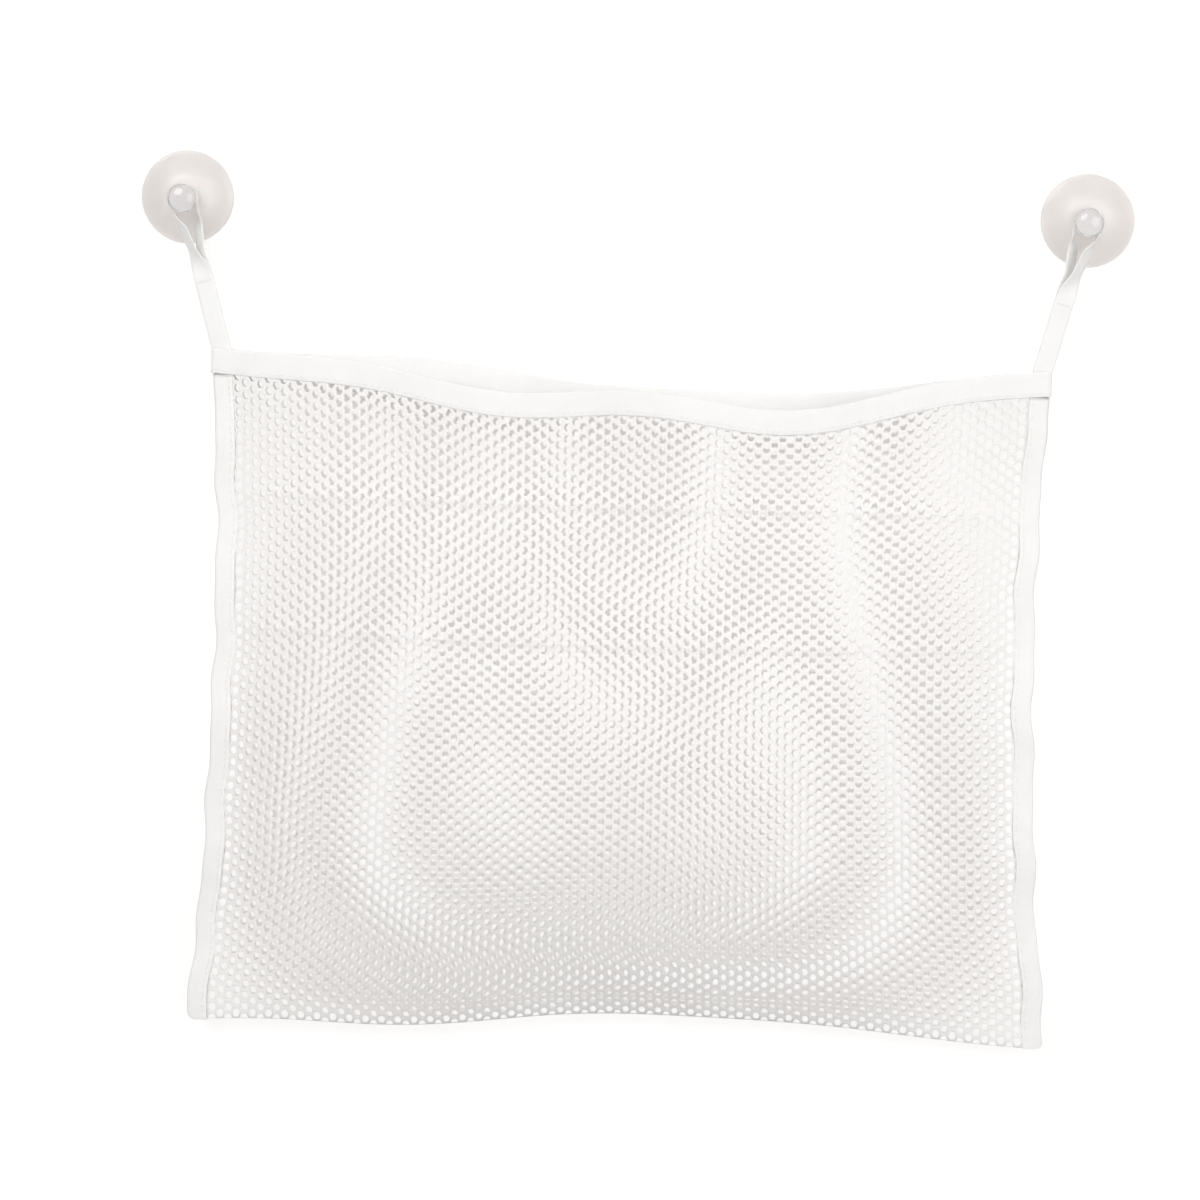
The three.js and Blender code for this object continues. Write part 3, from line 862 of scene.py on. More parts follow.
@dataclass(frozen=True)
class NetPanel:
    """One panel of hexagonal net, every opening cut, with strands that are thickest along their middle."""

    shape: BagShape
    side: Side
    column_pitch: float = 4.12 * MM
    row_pitch: float = 6.3 * MM
    opening_width: float = 3.7 * MM
    opening_height: float = 4.0 * MM
    strand_depth: float = 0.6 * MM
    # The net ends inside the tapes, this far within the panel's outline at the sides and at the top.
    side_inset: float = 6 * MM
    top_inset: float = 6 * MM
    # Corners of neighbouring cells that lie closer than this are one.
    weld: float = 0.01 * MM
    flat: tuple[float, float] = (450 * MM, 355 * MM)

    def cells(self) -> np.ndarray:
        """Corners of every cell of the flat net.

        Returns:
            Places as x and drop, as an array of cells by 6 by 2.
        """
        half = self.shape.top_width / 2.0 - self.side_inset
        columns = round(2.0 * half / self.column_pitch)
        # Neighbouring columns interlock by a third of a pitch.
        pitch_x = 2.0 * half / (columns + 1.0 / 3.0)
        rows = round((self.shape.net_height - self.top_inset) / self.row_pitch)
        pitch_drop = (self.shape.net_height - self.top_inset) / rows
        upper = [(-2 / 3, 0), (-1 / 3, -1 / 2), (1 / 3, -1 / 2)]
        lower = [(2 / 3, 0), (1 / 3, 1 / 2), (-1 / 3, 1 / 2)]
        hexagon = upper + lower
        # At the bottom fold every second column ends in half a cell.
        folded = [(u, min(v, 0.0)) for u, v in hexagon]
        cells = []
        for column in range(columns):
            x = -half + pitch_x * (column + 2.0 / 3.0)
            even = column % 2 == 0
            for row in range(0 if even else 1, rows if even else rows + 1):
                drop = self.top_inset + pitch_drop * (row + 0.5 * even)
                corners = folded if row == rows else hexagon
                cells.append([(x + u * pitch_x, drop + v * pitch_drop) for u, v in corners])
        return np.array(cells)

    def opening_share(self) -> np.ndarray:
        """Size of an opening against its cell, across and down."""
        cell_width = 4.0 / 3.0 * self.column_pitch
        return np.array([self.opening_width / cell_width, self.opening_height / self.row_pitch])

    def lay(self, flat: np.ndarray, off: float) -> np.ndarray:
        """Places points of the flat net on the panel.

        Args:
            flat: Places as x and drop, one row each.
            off: Distance outside the panel's middle surface.

        Returns:
            Positions, one row each.
        """
        half = self.shape.top_width / 2.0 - self.side_inset
        drop = flat[:, 1]
        x = flat[:, 0] * (self.shape.half_width(drop) - self.side_inset) / half
        return self.shape.point(self.side, x, drop) + off * self.shape.normal(self.side, x, drop)

    @staticmethod
    def strand_faces(corner: np.ndarray, count: int) -> list[list[int]]:
        """Faces of the strands on both sides, and of the panel's outer edge.

        Args:
            corner: Indices of each cell's six corners.
            count: Number of corners. Their outer points come first, then their inner points, then the
                points round the openings.

        Returns:
            Vertex indices of each face.
        """
        a, b = corner, np.roll(corner, -1, axis=1)
        p = 2 * count + np.arange(corner.size).reshape(-1, 6)
        q = np.roll(p, -1, axis=1)
        front = np.stack([a, b, q, p], axis=-1).reshape(-1, 4)
        back = np.stack([b + count, a + count, p, q], axis=-1).reshape(-1, 4)
        edges = np.stack([a, b], axis=-1).reshape(-1, 2)
        _, once, uses = np.unique(np.sort(edges, axis=1), axis=0, return_index=True, return_counts=True)
        rim = edges[once[uses == 1]]
        edge = np.stack([rim[:, 1], rim[:, 0], rim[:, 0] + count, rim[:, 1] + count], axis=-1)
        return np.concatenate([front, back, edge]).tolist()

    def build(self) -> bpy.types.Object:
        """Builds the panel's mesh.

        Returns:
            The panel, riding on the bag.
        """
        cells = self.cells()
        middle = cells.mean(axis=1, keepdims=True)
        holes = (middle + self.opening_share() * (cells - middle)).reshape(-1, 2)
        keys = np.round(cells.reshape(-1, 2) / self.weld).astype(np.int64)
        _, first, corner = np.unique(keys, axis=0, return_index=True, return_inverse=True)
        corners = cells.reshape(-1, 2)[first]
        count = len(corners)
        outer = self.lay(corners, self.strand_depth / 2.0)
        inner = self.lay(corners, -self.strand_depth / 2.0)
        points = np.concatenate([outer, inner, self.lay(holes, 0.0)])
        name = self.side.name.lower()
        panel = make_piece(f"net_panel_{name}", points, self.strand_faces(corner.reshape(-1, 6), count))
        self.crisp_openings(panel.data, 2 * count)
        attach(panel, "bag")
        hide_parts(f"net_{name}")
        return panel

    @staticmethod
    def crisp_openings(mesh: bpy.types.Mesh, first: int) -> None:
        """Keeps the edge round every opening crisp, so that the strands shade as flat bands.

        Args:
            mesh: Mesh of the panel.
            first: Index of the first vertex on an opening's edge.
        """
        ends = np.zeros(2 * len(mesh.edges), np.int32)
        mesh.edges.foreach_get("vertices", ends)
        crisp = mesh.attributes.new("sharp_edge", "BOOLEAN", "EDGE")
        crisp.data.foreach_set("value", (ends.reshape(-1, 2) >= first).all(axis=1))

    def dress(
        self, panel: bpy.types.Object, bindings: list[bpy.types.Object], net: bpy.types.Material
    ) -> None:
        """Gives the panel its finish.

        Args:
            panel: The panel's object.
            bindings: Tapes and stitching that go with this panel; not used.
            net: Finish of the net.
        """
        give_finish(panel, net)
        yarn_share = 1.0 - float(self.opening_share().prod())


@dataclass(frozen=True)
class FoldedTape:
    """Tape folded over an edge of the net and sewn down. Subclasses say where its fold runs."""

    shape: BagShape
    reach: float = 12 * MM
    thickness: float = 0.4 * MM
    slot_half: float = 0.36 * MM
    # The woven edge has a share of the tape's thickness, and the fold is rounded over the bend.
    selvedge: float = 0.6 * MM
    selvedge_share: float = 0.35
    bend: float = 1.6 * MM
    steps: int = 170
    ply_steps: int = 7
    bend_steps: int = 11
    # Puckers along the free edge, as two waves. The second has a share of the first one's height, and
    # turns by one radian over a share of its length.
    pucker: float = 0.22 * MM
    pucker_length: float = 6.5 * MM
    second_share: float = 0.7
    second_turn: float = 0.37
    # A row of lockstitches. Rise and dip are in thread radii.
    stitch_inset: float = 2.2 * MM
    stitch_pitch: float = 3.4 * MM
    stitch_length: float = 2.5 * MM
    stitch_rise: float = 0.35
    stitch_dip: float = 1.9
    stitch_steps: int = 6
    thread_radius: float = 0.2 * MM

    def run(self) -> tuple[float, float]:
        """First and last place along the tape."""
        raise NotImplementedError

    def fold_line(self, s: np.ndarray) -> tuple[np.ndarray, np.ndarray, np.ndarray, np.ndarray]:
        """Fold, inward direction, outward normal and half the slot at places along the tape."""
        raise NotImplementedError

    def names(self) -> tuple[str, str, str]:
        """Names of the tape, of its stitching and of the CAD node that they stand for."""
        raise NotImplementedError

    def stations(self) -> np.ndarray:
        """Places along the tape where its section is drawn."""
        return np.linspace(*self.run(), self.steps)

    def trim(self, s: np.ndarray) -> np.ndarray:
        """How far the fold is drawn in at places along the tape, for a rounded end."""
        return np.zeros_like(s)

    def place(self, s: np.ndarray, u: np.ndarray, v: np.ndarray, face: np.ndarray) -> np.ndarray:
        """Points of the tape.

        Args:
            s: Places along the tape, by rows.
            u: Distances from the fold, by columns.
            v: Shares of the half slot, from -1 to 1, by columns.
            face: Distances outside the slot, by columns.

        Returns:
            Positions, as places by columns by 3.
        """
        fold, inward, normal, slot = self.fold_line(s)
        first = np.sin(2.0 * np.pi * s / self.pucker_length)
        second = np.sin(s / (self.second_turn * self.pucker_length))
        wave = self.pucker * (first + self.second_share * second)
        loose = (np.clip(u, 0.0, None) / self.reach) ** 2
        off = v * slot[:, None] + face + wave[:, None] * loose * np.sign(v)
        trim = self.trim(s)[:, None]
        into = trim + u * (1.0 - trim / self.reach)
        return fold[:, None] + into[..., None] * inward[:, None] + off[..., None] * normal[:, None]

    def section(self) -> tuple[np.ndarray, np.ndarray, np.ndarray, np.ndarray]:
        """Closed section of the tape: its outside from edge to edge, then its inside back again.

        Returns:
            Distances from the fold, shares of the half slot, distances outside the slot and places
            across the tape.
        """
        flat = np.linspace(self.reach - self.selvedge, self.bend, self.ply_steps)
        ply = np.concatenate([[self.reach], flat])
        turn = np.linspace(np.pi / 2.0, -np.pi / 2.0, self.bend_steps)[1:-1]
        u = np.concatenate([ply, self.bend * (1.0 - np.cos(turn)), ply[::-1]])
        v = np.concatenate([np.ones(len(ply)), np.sin(turn), -np.ones(len(ply))])
        across = np.concatenate([ply, ply[-1] * np.sin(turn), -ply[::-1]])
        inner_u = np.maximum(u, self.thickness + u * (1.0 - self.thickness / self.bend))
        inner_u = np.where(u < self.bend, inner_u, u)
        all_u = np.concatenate([u, inner_u[::-1]])
        all_v = np.concatenate([v, v[::-1]])
        thick = np.where(u < self.reach, self.thickness, self.selvedge_share * self.thickness)
        face = np.concatenate([v * thick, 0.0 * v])
        return all_u, all_v, face, np.concatenate([across, across[::-1]])

    def build(self) -> list[bpy.types.Object]:
        """Builds the tape and its stitching, both riding on the bag.

        Returns:
            The tape, then the stitching.
        """
        pieces = [self.tape(), self.stitching()]
        for piece in pieces:
            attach(piece, "bag")
        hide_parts(self.names()[2])
        return pieces

    def dress(
        self, pieces: list[bpy.types.Object], tape: bpy.types.Material, thread: bpy.types.Material
    ) -> None:
        """Gives the tape and its stitching their finishes.

        Args:
            pieces: The tape, then the stitching.
            tape: Finish of the tape.
            thread: Finish of the thread.
        """
        for piece, material in zip(pieces, (tape, thread)):
            give_finish(piece, material)

    def tape(self) -> bpy.types.Object:
        """Builds the mesh of the tape.

        Returns:
            The tape.
        """
        s = self.stations()
        u, v, face, across = self.section()
        points = self.place(s, u, v, face)
        count = len(u)
        faces = loft_faces(len(s), count)
        for start in (0, (len(s) - 1) * count):
            for k in range(count // 2 - 1):
                faces.append((start + k, start + k + 1, start + count - 2 - k, start + count - 1 - k))
        uv = np.stack(np.broadcast_arrays(s[:, None], across[None]), axis=-1)
        return make_piece(self.names()[0], points, faces, uv)

    def stitching(self) -> bpy.types.Object:
        """Builds the mesh of the row of lockstitches on both faces of the tape.

        Returns:
            The stitching.
        """
        first, last = self.run()
        middle = np.arange(first + self.stitch_pitch, last - self.stitch_pitch / 2.0, self.stitch_pitch)
        along = np.linspace(-0.5, 0.5, self.stitch_steps)
        lift = stitch_lift(along, self.stitch_rise, self.stitch_dip)
        height = self.thickness + self.thread_radius * lift
        u = np.array([self.reach - self.stitch_inset])
        lines, ups = [], []
        for ply in (1.0, -1.0):
            rows = []
            for k, share in enumerate(along):
                s = middle + share * self.stitch_length
                rows.append(self.place(s, u, np.array([ply]), np.array([ply * height[k]]))[:, 0])
            lines.append(np.stack(rows, axis=1))
            normal = ply * self.fold_line(middle)[2]
            ups.append(np.repeat(normal[:, None], len(along), axis=1))
        points, faces = thread_tubes(np.concatenate(lines), np.concatenate(ups), self.thread_radius)
        return make_piece(self.names()[1], points, faces)


@dataclass(frozen=True)
class MouthTape(FoldedTape):
    """Tape along one edge of the mouth."""

    reach: float = 13 * MM
    side: Side = Side.FRONT

    def names(self) -> tuple[str, str, str]:
        """Named for the panel that it binds."""
        side = self.side.name.lower()
        return f"mouth_tape_{side}", f"mouth_stitching_{side}", f"top_binding_{side}"

    def run(self) -> tuple[float, float]:
        """From the left corner to the right."""
        half = float(self.shape.half_width(0.0))
        return -half, half

    def fold_line(self, s: np.ndarray) -> tuple[np.ndarray, np.ndarray, np.ndarray, np.ndarray]:
        """Fold above the net's top edge.

        Args:
            s: Places across the bag.

        Returns:
            Points of the fold, directions down the panel, normals out of the bag and half slots.
        """
        edge = self.shape.point(self.side, s, 0.0)
        inward = unit(self.shape.point(self.side, s, MOUTH_TAPE_END) - edge)
        normal = self.shape.normal(self.side, s, MOUTH_TAPE_END / 2.0)
        normal = unit(normal - inward * (normal * inward).sum(-1, keepdims=True))
        return edge - EDGE_INSET * inward, inward, normal, np.full(len(s), self.slot_half)


@dataclass(frozen=True)
class SideTape(FoldedTape):
    """Tape over one side edge of both panels, its lower end softly rounded."""

    reach: float = 10.5 * MM
    hand: Hand = Hand.LEFT
    # The tape starts just below the mouth tapes.
    start: float = MOUTH_TAPE_END + 0.3 * MM
    corner: float = 4.5 * MM
    corner_steps: int = 10

    def names(self) -> tuple[str, str, str]:
        """Named for its side of the bag."""
        hand = self.hand.name.lower()
        return f"side_tape_{hand}", f"side_stitching_{hand}", f"side_binding_{hand}"

    def stations(self) -> np.ndarray:
        """Places along the tape where its section is drawn.

        Returns:
            Drops, evenly spaced and then closer together round the lower corner.
        """
        first, last = self.run()
        arc = np.linspace(0.0, np.pi / 2.0, self.corner_steps)
        even = np.linspace(first, last - self.corner, self.steps)[:-1]
        return np.concatenate([even, last - self.corner * (1.0 - np.sin(arc))])

    def trim(self, s: np.ndarray) -> np.ndarray:
        """Quarter circle at the lower corner."""
        into = np.clip(s - self.run()[1] + self.corner, 0.0, self.corner)
        return self.corner - np.sqrt(self.corner**2 - into**2)

    def run(self) -> tuple[float, float]:
        """From below the mouth tapes to the bottom fold."""
        return self.start, self.shape.net_height

    def fold_line(self, s: np.ndarray) -> tuple[np.ndarray, np.ndarray, np.ndarray, np.ndarray]:
        """Fold along the side edge.

        Args:
            s: Places below the net's top edge.

        Returns:
            Points of the fold, directions into the bag, normals to the front and half slots.
        """
        x = self.hand.value * self.shape.half_width(s)
        front = self.shape.point(Side.FRONT, x, s)
        back = self.shape.point(Side.BACK, x, s)
        inward = np.broadcast_to([-float(self.hand.value), 0.0, 0.0], front.shape)
        normal = np.broadcast_to([0.0, -1.0, 0.0], front.shape)
        return (front + back) / 2.0, inward, normal, self.shape.parting(s) + self.slot_half


# The hangers.


@dataclass(frozen=True)
class RibbonLoop:
    """Ribbon doubled over the neck of a cup, its tails sewn between the mouth tapes at a corner."""

    hand: Hand
    width: float = 10 * MM
    thickness: float = 0.6 * MM
    edge: float = 0.35 * MM
    width_steps: int = 7
    ply_half: float = 0.36 * MM
    tail: float = 5 * MM
    tail_steps: int = 24
    # The loop hangs on top of the neck, with slack round it, and its strands part softly at the fork.
    neck_radius: float = NECK_RADIUS
    loop_length: float = 37 * MM
    loop_slack: float = 1.4 * MM
    loop_seat: float = 0.7 * MM
    loop_softness: float = 4 * MM
    loop_steps: int = 40
    # The strands turn most of a quarter round above the fork, and the rest at the neck.
    twist_lead: float = 5 * MM
    twist_length: float = 36 * MM
    twist_steps: int = 48
    open_turn: float = 0.64
    open_length: float = 17 * MM
    seat_length: float = 10 * MM
    # Stretches of the ribbon below and above its stitch line.
    bend_below: float = 4 * MM
    bend_above: float = 18 * MM
    # A sewn bar holds the two plies together below the fork. Rise and dip are in thread radii.
    bar_below: float = 43.5 * MM
    bar_strokes: int = 13
    bar_height: float = 2.2 * MM
    bar_inset: float = 1.1 * MM
    bar_slant: float = 0.9
    bar_rise: float = 0.3
    bar_dip: float = 1.8
    bar_steps: int = 4
    thread_radius: float = 0.19 * MM

    def axes(self) -> tuple[np.ndarray, np.ndarray, np.ndarray, np.ndarray]:
        """Where the strap hangs.

        Returns:
            Stitch point, direction up the strap, direction across it and centre of the loop.
        """
        mirror = np.array([-self.hand.value, 1.0, 1.0])
        stitch = mirror * JOINTS["bag_sway"]
        neck = mirror * JOINTS["left_strap_swing"]
        up = unit(neck - stitch)
        across = self.hand.value * np.cross(up, [0.0, -1.0, 0.0])
        return stitch, up, across, neck + (self.loop_seat - self.loop_slack) * up

    def path(self) -> tuple[np.ndarray, np.ndarray]:
        """Run of the ribbon from one tail up, round the neck and down to the other tail.

        Returns:
            Points of its middle line, and the direction of its width at each.
        """
        stitch, up, across, centre = self.axes()
        radius = self.neck_radius + self.loop_slack + self.thickness / 2.0
        reach = math.hypot(self.ply_half, self.loop_length)
        tangent = math.atan2(self.ply_half, self.loop_length) + math.acos(radius / reach)
        low = radius * math.cos(tangent)
        slope = (radius * math.sin(tangent) - self.ply_half) / (self.loop_length - low)
        tail = float(np.linalg.norm(centre - stitch)) + self.tail
        twist = self.loop_length + self.twist_lead
        flat = np.linspace(tail, twist, self.tail_steps, endpoint=False)
        below = np.concatenate([flat, np.linspace(twist, low, self.twist_steps)])
        above = self.loop_length - below
        parted = (above + np.hypot(above, self.loop_softness)) / 2.0
        offset = self.ply_half + slope * parted
        opened = smoothstep(twist - below, 0.0, self.open_length)
        seated = smoothstep(twist - below, self.twist_length - self.seat_length, self.twist_length)
        turn = np.pi / 2.0 * (self.open_turn * opened + (1.0 - self.open_turn) * seated)
        arc = np.linspace(tangent, 2.0 * np.pi - tangent, self.loop_steps)[1:-1]
        below = np.concatenate([below, radius * np.cos(arc), below[::-1]])
        offset = np.concatenate([offset, radius * np.sin(arc), -offset[::-1]])
        turn = np.concatenate([turn, np.full(len(arc), np.pi / 2.0), turn[::-1]])
        spread = np.cos(turn)[:, None] * np.array([0.0, -1.0, 0.0]) + np.sin(turn)[:, None] * across
        at = centre - below[:, None] * up + offset[:, None] * spread
        return at, np.cross(up, spread)

    def build(self) -> list[bpy.types.Object]:
        """Builds the ribbon and the bar sewn below its loop.

        Returns:
            The ribbon, then the bar.
        """
        strap = f"strap_{self.hand.name.lower()}"
        ribbon, bar = self.ribbon(), self.bar()
        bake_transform(ribbon)
        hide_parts(strap)
        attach(bar, strap)
        return [ribbon, bar]

    def dress(
        self, pieces: list[bpy.types.Object], ribbon: bpy.types.Material, thread: bpy.types.Material
    ) -> None:
        """Gives the ribbon and its bar their finishes.

        Args:
            pieces: The ribbon, then the bar.
            ribbon: Finish of the ribbon.
            thread: Finish of the thread.
        """
        for piece, material in zip(pieces, (ribbon, thread)):
            give_finish(piece, material)

    def ribbon(self) -> bpy.types.Object:
        """Builds the mesh of the ribbon, from tail to tail.

        Returns:
            The ribbon.
        """
        at, wide = self.path()
        heading = unit(np.gradient(at, axis=0))
        normal = unit(np.cross(heading, wide))
        half, thin = self.width / 2.0, self.thickness / 2.0
        flat = np.linspace(-half + self.edge, half - self.edge, self.width_steps)
        across = np.concatenate([flat, [half]])
        across = np.concatenate([across, -across])
        ply = np.full(self.width_steps, thin)
        lift = np.concatenate([-ply, [0.0], ply, [0.0]])
        rings = at[:, None] + across[:, None] * wide[:, None] + lift[:, None] * normal[:, None]
        faces = loft_faces(len(at), len(across))
        faces.append(tuple(range(len(across))))
        faces.append(tuple(range((len(at) - 1) * len(across), len(at) * len(across))))
        along = np.concatenate([[0.0], np.cumsum(np.linalg.norm(np.diff(at, axis=0), axis=1))])
        uv = np.stack(np.broadcast_arrays(along[:, None], across[None]), axis=-1)
        return make_piece(f"ribbon_{self.hand.name.lower()}", rings, faces, uv)

    def bar(self) -> bpy.types.Object:
        """Builds the mesh of the bar sewn across the two plies, on both faces.

        Returns:
            The bar.
        """
        _, up, across, centre = self.axes()
        reach = self.width / 2.0 - self.bar_inset
        ends = np.linspace(-0.5, 0.5, self.bar_steps)
        lift = stitch_lift(ends, self.bar_rise, self.bar_dip)
        height = self.ply_half + self.thickness / 2.0 + self.thread_radius * lift
        slant = self.bar_slant * self.bar_height / self.bar_strokes * np.sign(ends)
        lines, ups = [], []
        for face in (-1.0, 1.0):
            out = np.array([0.0, face, 0.0])
            for stroke in range(self.bar_strokes):
                share = stroke / (self.bar_strokes - 1)
                side = reach * (2.0 * share - 1.0) + slant
                line = centre - (self.bar_below + self.bar_height * ends)[:, None] * up
                line = line + side[:, None] * across + height[:, None] * out
                lines.append(line)
                ups.append(np.broadcast_to(out, line.shape))
        points, faces = thread_tubes(np.array(lines), np.array(ups), self.thread_radius)
        return make_piece(f"loop_bar_{self.hand.name.lower()}", points, faces)


@dataclass(frozen=True)
class SuctionCup:
    """Suction cup with a mushroom knob, one moulding revolved about its axis."""

    hand: Hand
    rim: float = 24 * MM
    rim_flat: float = 4 * MM
    lip: float = 0.9 * MM
    dome: float = 9.5 * MM
    hollow: float = 6.5 * MM
    hollow_rounding: float = 0.6
    shoulder: float = 3 * MM
    shoulder_flat: float = 1 * MM
    neck_radius: float = NECK_RADIUS
    neck_length: float = 11.6 * MM
    fillet: float = 0.5 * MM
    head_radius: float = 7.5 * MM
    head_height: float = 6 * MM
    head_edge: float = 2.2 * MM
    segments: int = 96

    @staticmethod
    def bezier(points: list[tuple[float, float]], steps: int) -> np.ndarray:
        """Points of a Bezier curve.

        Args:
            points: Its control points.
            steps: Number of points on it.

        Returns:
            The points, one row each.
        """
        t = np.linspace(0.0, 1.0, steps)[:, None]
        order = len(points) - 1
        return sum(
            math.comb(order, k) * t**k * (1.0 - t) ** (order - k) * np.array(p)
            for k, p in enumerate(points)
        )

    def disc(self) -> np.ndarray:
        """Profile of the disc, from the middle of its hollow round the lip to the knob's shoulder.

        Returns:
            Radius and height over the wall, one row each.
        """
        inner = self.rim - self.rim_flat
        root = self.neck_radius + self.shoulder
        top = self.dome - self.fillet
        inside = self.bezier(
            [(0, self.hollow), (self.hollow_rounding * inner, self.hollow), (inner, 0)], steps=24
        )
        turn = np.linspace(-np.pi / 2.0, np.pi / 2.0, 9)
        round_lip = self.lip / 2.0
        lip_middle = self.rim - round_lip
        lip = np.stack([np.cos(turn), 1.0 + np.sin(turn)], -1) * round_lip + [lip_middle, 0.0]
        outside = self.bezier(
            [(lip_middle, self.lip), (inner, 2 * self.lip), ((inner + root) / 2.0, top), (root, top)],
            steps=30,
        )
        return np.concatenate([inside, lip, outside[1:]])

    def knob(self) -> np.ndarray:
        """Profile of the knob, from its shoulder up the neck and over the head.

        Returns:
            Radius and height over the wall, one row each.
        """
        neck = self.neck_radius
        low = self.dome - self.fillet
        root = self.bezier(
            [
                (neck + self.shoulder - self.shoulder_flat, low),
                (neck, low),
                (neck, self.dome + 2 * self.fillet),
            ],
            steps=9,
        )
        neck_end = self.dome + self.neck_length
        under = self.bezier(
            [(neck, neck_end - 2 * self.fillet), (neck, neck_end), (neck + self.fillet, neck_end)],
            steps=6,
        )
        quarter = np.linspace(0.0, np.pi / 2.0, 14)
        edge_in = self.head_radius - self.head_edge / 2.0
        edge_radius = edge_in + (self.head_radius - edge_in) * np.sin(quarter)
        edge = np.stack([edge_radius, neck_end + self.head_edge * (1.0 - np.cos(quarter))], -1)
        crown_height = (self.head_height - self.head_edge) * np.sin(quarter)
        crown = np.stack(
            [self.head_radius * np.cos(quarter), neck_end + self.head_edge + crown_height], -1
        )
        return np.concatenate([root, under, edge, crown[1:]])

    def build(self) -> bpy.types.Object:
        """Builds the cup.

        Returns:
            The cup, riding with its twin.
        """
        profile = np.concatenate([self.disc(), self.knob()])
        rings = profile[1:-1]
        angle = 2.0 * np.pi * np.arange(self.segments) / self.segments
        centre = -self.hand.value * float(JOINTS["left_strap_swing"][0])
        x = centre + rings[:, :1] * np.cos(angle)
        z = rings[:, :1] * np.sin(angle)
        y = np.broadcast_to(-rings[:, 1:], x.shape)
        points = np.stack([x, y, z], axis=-1).reshape(-1, 3)
        ends = np.array([[centre, -profile[0, 1], 0.0], [centre, -profile[-1, 1], 0.0]])
        faces = loft_faces(len(rings), self.segments)
        last = (len(rings) - 1) * self.segments
        for k in range(self.segments):
            after = (k + 1) % self.segments
            faces.append((len(points), after, k))
            faces.append((len(points) + 1, last + k, last + after))
        suffix = self.hand.name.lower()
        piece = make_piece(f"cup_{suffix}", np.concatenate([points, ends]), faces)
        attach(piece, "cups")
        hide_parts(f"suction_cup_{suffix}")
        return piece

    def dress(self, cup: bpy.types.Object, vinyl: bpy.types.Material) -> None:
        """Gives the cup its finish."""
        give_finish(cup, vinyl)


# The set.


@dataclass(frozen=True)
class Lamp:
    """Round soft lamp that is aimed at the bag: its place, its width and its power in watts."""

    name: str
    place: tuple[float, float, float]
    size: float
    power: float


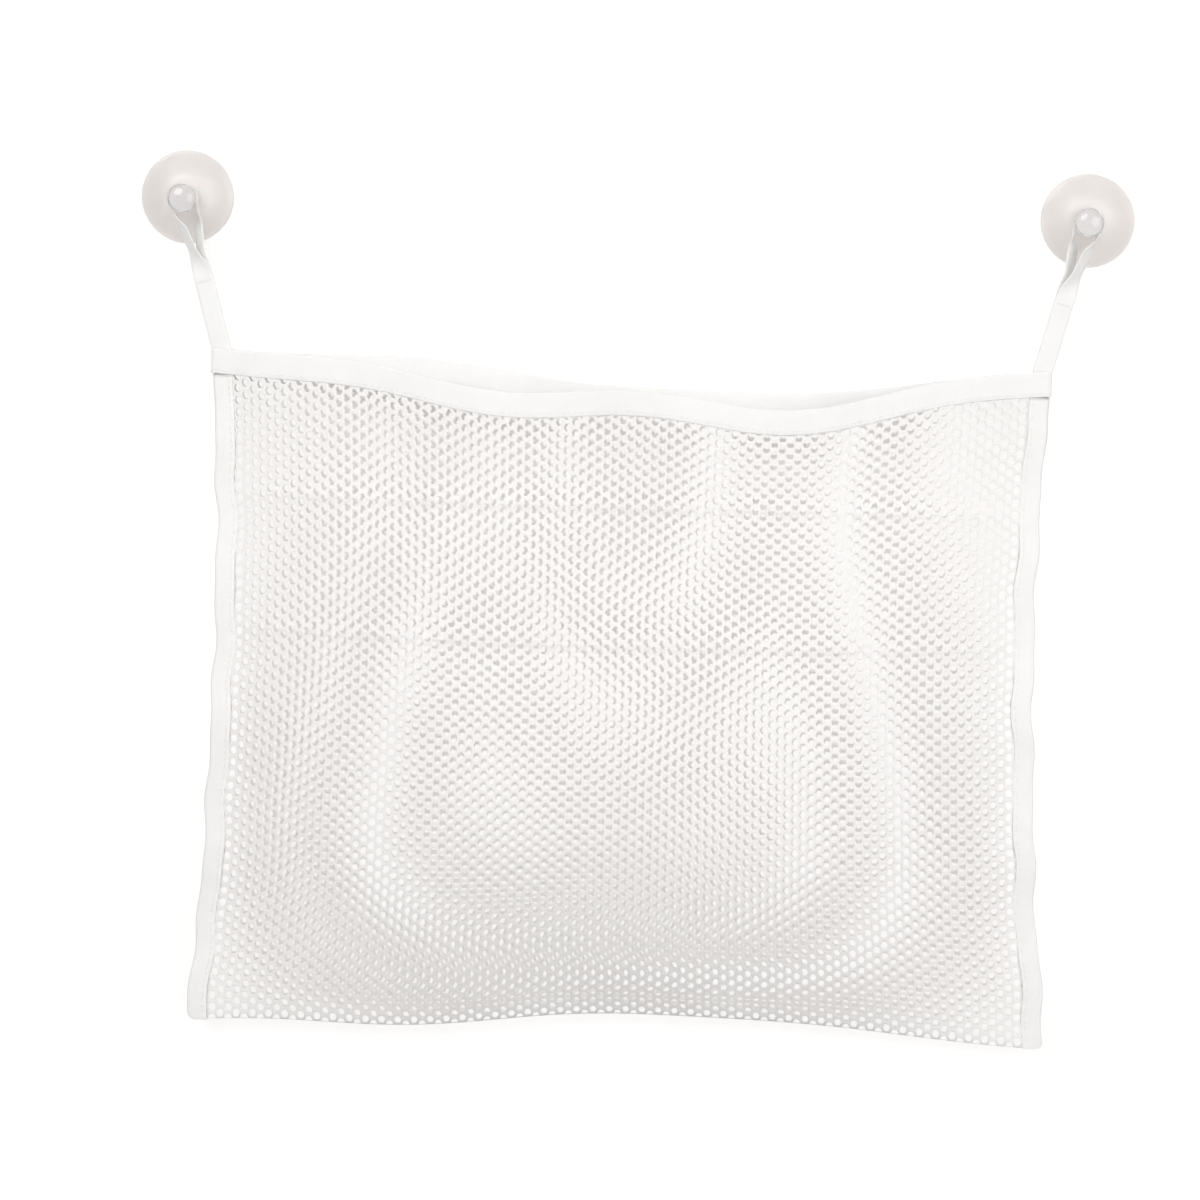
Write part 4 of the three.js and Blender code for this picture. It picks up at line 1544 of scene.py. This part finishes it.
@dataclass(frozen=True)
class Studio:
    """Pale wall and floor, soft lamps and the photograph's viewpoint."""

    # The camera, with its angles in degrees and its sensor in millimetres.
    target: tuple[float, float, float] = (-12.5 * MM, -15.3 * MM, -202.5 * MM)
    distance: float = 2.4
    azimuth: float = 3.0
    elevation: float = 7.0
    roll: float = 1.43
    frame_width: float = 623.4 * MM
    sensor: float = 36.0
    wall_size: float = 20.0
    wall_gap: float = 0.6 * MM
    floor_height: float = -1.1
    # Light of the sky, the tone that it and the far floor show, the far wall's tone, and the light that
    # wall and floor add to their own near the bag.
    sky_colour: str = "#FFFFFF"
    sky: float = 0.52
    backdrop: float = 0.8
    wall_tone: float = 1.0
    wall_glow: float = 0.56
    floor_glow: float = 0.36
    lamps: tuple[Lamp, ...] = (
        Lamp("key", (-0.9, -1.9, 1.1), size=1.6, power=23.5),
        Lamp("fill", (1.3, -1.8, 0.1), size=1.8, power=17.0),
        Lamp("rear", (0.6, 1.6, 0.9), size=1.6, power=18.0),
    )

    def build(self) -> list[bpy.types.Object]:
        """Puts up the wall and the floor, the lamps and the camera.

        Returns:
            The wall, then the floor.
        """
        self.build_camera()
        self.build_sky()
        self.build_lamps()
        size, low, behind = self.wall_size, self.floor_height, self.wall_gap
        wall = [(-size, behind, low), (size, behind, low), (size, behind, size), (-size, behind, size)]
        floor = [(-size, -size, low), (size, -size, low), (size, size, low), (-size, size, low)]
        sheets = []
        for name, corners in (("wall", wall), ("floor", floor)):
            mesh = bpy.data.meshes.new(name)
            mesh.from_pydata(corners, [], [(0, 1, 2, 3)])
            sheet = bpy.data.objects.new(name, mesh)
            sheet.visible_diffuse = False
            bpy.context.scene.collection.objects.link(sheet)
            sheets.append(sheet)
        sheets[0].visible_shadow = False
        return sheets

    def dress(self, sheets: list[bpy.types.Object]) -> None:
        """Paints the wall white and the floor a little greyer.

        Args:
            sheets: The wall, then the floor.
        """
        paints = (
            StagePaint("matt_wall_emulsion", self.wall_glow, self.wall_tone),
            StagePaint("matt_floor_emulsion", self.floor_glow, self.backdrop),
        )
        for sheet, paint in zip(sheets, paints):
            sheet.data.materials.append(paint.material())

    def build_sky(self) -> None:
        """Sets the even light of the sky, and the tone that it shows."""
        scene = bpy.context.scene
        scene.view_settings.view_transform = "Standard"
        world = bpy.data.worlds.new("studio")
        scene.world = world
        world.use_nodes = True
        tree = world.node_tree
        tree.nodes.clear()
        strength = add_node(
            tree,
            "ShaderNodeMapRange",
            {"Value": seen_rays(tree), "To Min": self.sky, "To Max": self.backdrop},
        )
        sky = add_node(
            tree,
            "ShaderNodeBackground",
            {"Color": linear_colour(self.sky_colour), "Strength": strength.outputs["Result"]},
        )
        add_node(tree, "ShaderNodeOutputWorld", {"Surface": sky.outputs[0]})

    def build_lamps(self) -> None:
        """Sets the lamps, each turned to the camera's target."""
        aim = Vector(self.target)
        for lamp in self.lamps:
            light = bpy.data.lights.new(lamp.name, "AREA")
            light.shape = "DISK"
            light.size = lamp.size
            light.energy = lamp.power
            holder = bpy.data.objects.new(lamp.name, light)
            holder.location = lamp.place
            holder.rotation_euler = (aim - Vector(lamp.place)).to_track_quat("-Z", "Y").to_euler()
            bpy.context.scene.collection.objects.link(holder)

    def build_camera(self) -> None:
        """Sets the camera at the photograph's viewpoint, with its slight roll."""
        azimuth, elevation, roll = (math.radians(v) for v in (self.azimuth, self.elevation, self.roll))
        level_reach = math.cos(elevation)
        back = Vector(
            (math.sin(azimuth) * level_reach, -math.cos(azimuth) * level_reach, math.sin(elevation))
        )
        level = Vector((0, 0, 1)).cross(back).normalized()
        rise = back.cross(level)
        right = math.cos(roll) * level + math.sin(roll) * rise
        up = back.cross(right)
        place = Vector(self.target) + self.distance * back
        camera = bpy.data.cameras.new("photo_view")
        camera.sensor_fit = "HORIZONTAL"
        camera.sensor_width = self.sensor
        camera.lens = self.sensor * self.distance / self.frame_width
        holder = bpy.data.objects.new("photo_view", camera)
        axes = Matrix((right, up, back)).transposed().to_4x4()
        holder.matrix_world = Matrix.Translation(place) @ axes
        scene = bpy.context.scene
        scene.collection.objects.link(holder)
        scene.camera = holder


def main() -> None:
    logging.basicConfig(level=logging.INFO, format="%(name)s: %(message)s")
    studio = Studio()
    studio.dress(studio.build())

    shape = BagShape.from_frame()
    net = KnittedNet().material()
    tape = WovenTape("woven_polyester_tape", bright="#F6F5F4", shade="#EDEBE9").material()
    ribbon = WovenTape(
        "woven_polyester_ribbon",
        bright="#FBFAF8",
        shade="#F2F0ED",
        thread=1.0 * MM,
        cross_share=0.35,
        sheen=0.35,
        roughness=0.55,
        soft_share=0.4,
        soft_reach=1.0 * MM,
    ).material()
    thread = SpunThread().material()
    vinyl = MouldedVinyl().material()

    pieces = []
    for side in Side:
        panel, mouth = NetPanel(shape, side), MouthTape(shape, side=side)
        netting, bindings = panel.build(), mouth.build()
        mouth.dress(bindings, tape, thread)
        panel.dress(netting, bindings, net)
        pieces += [netting, *bindings]

    for hand in Hand:
        edge, loop, cup = SideTape(shape, hand=hand), RibbonLoop(hand), SuctionCup(hand)
        edging, hanger, moulding = edge.build(), loop.build(), cup.build()
        edge.dress(edging, tape, thread)
        loop.dress(hanger, ribbon, thread)
        cup.dress(moulding, vinyl)
        pieces += [*edging, *hanger, moulding]

    for piece in pieces:
        log.info("%s: %d faces", piece.name, len(piece.data.polygons))


if __name__ == "__main__":
    main()
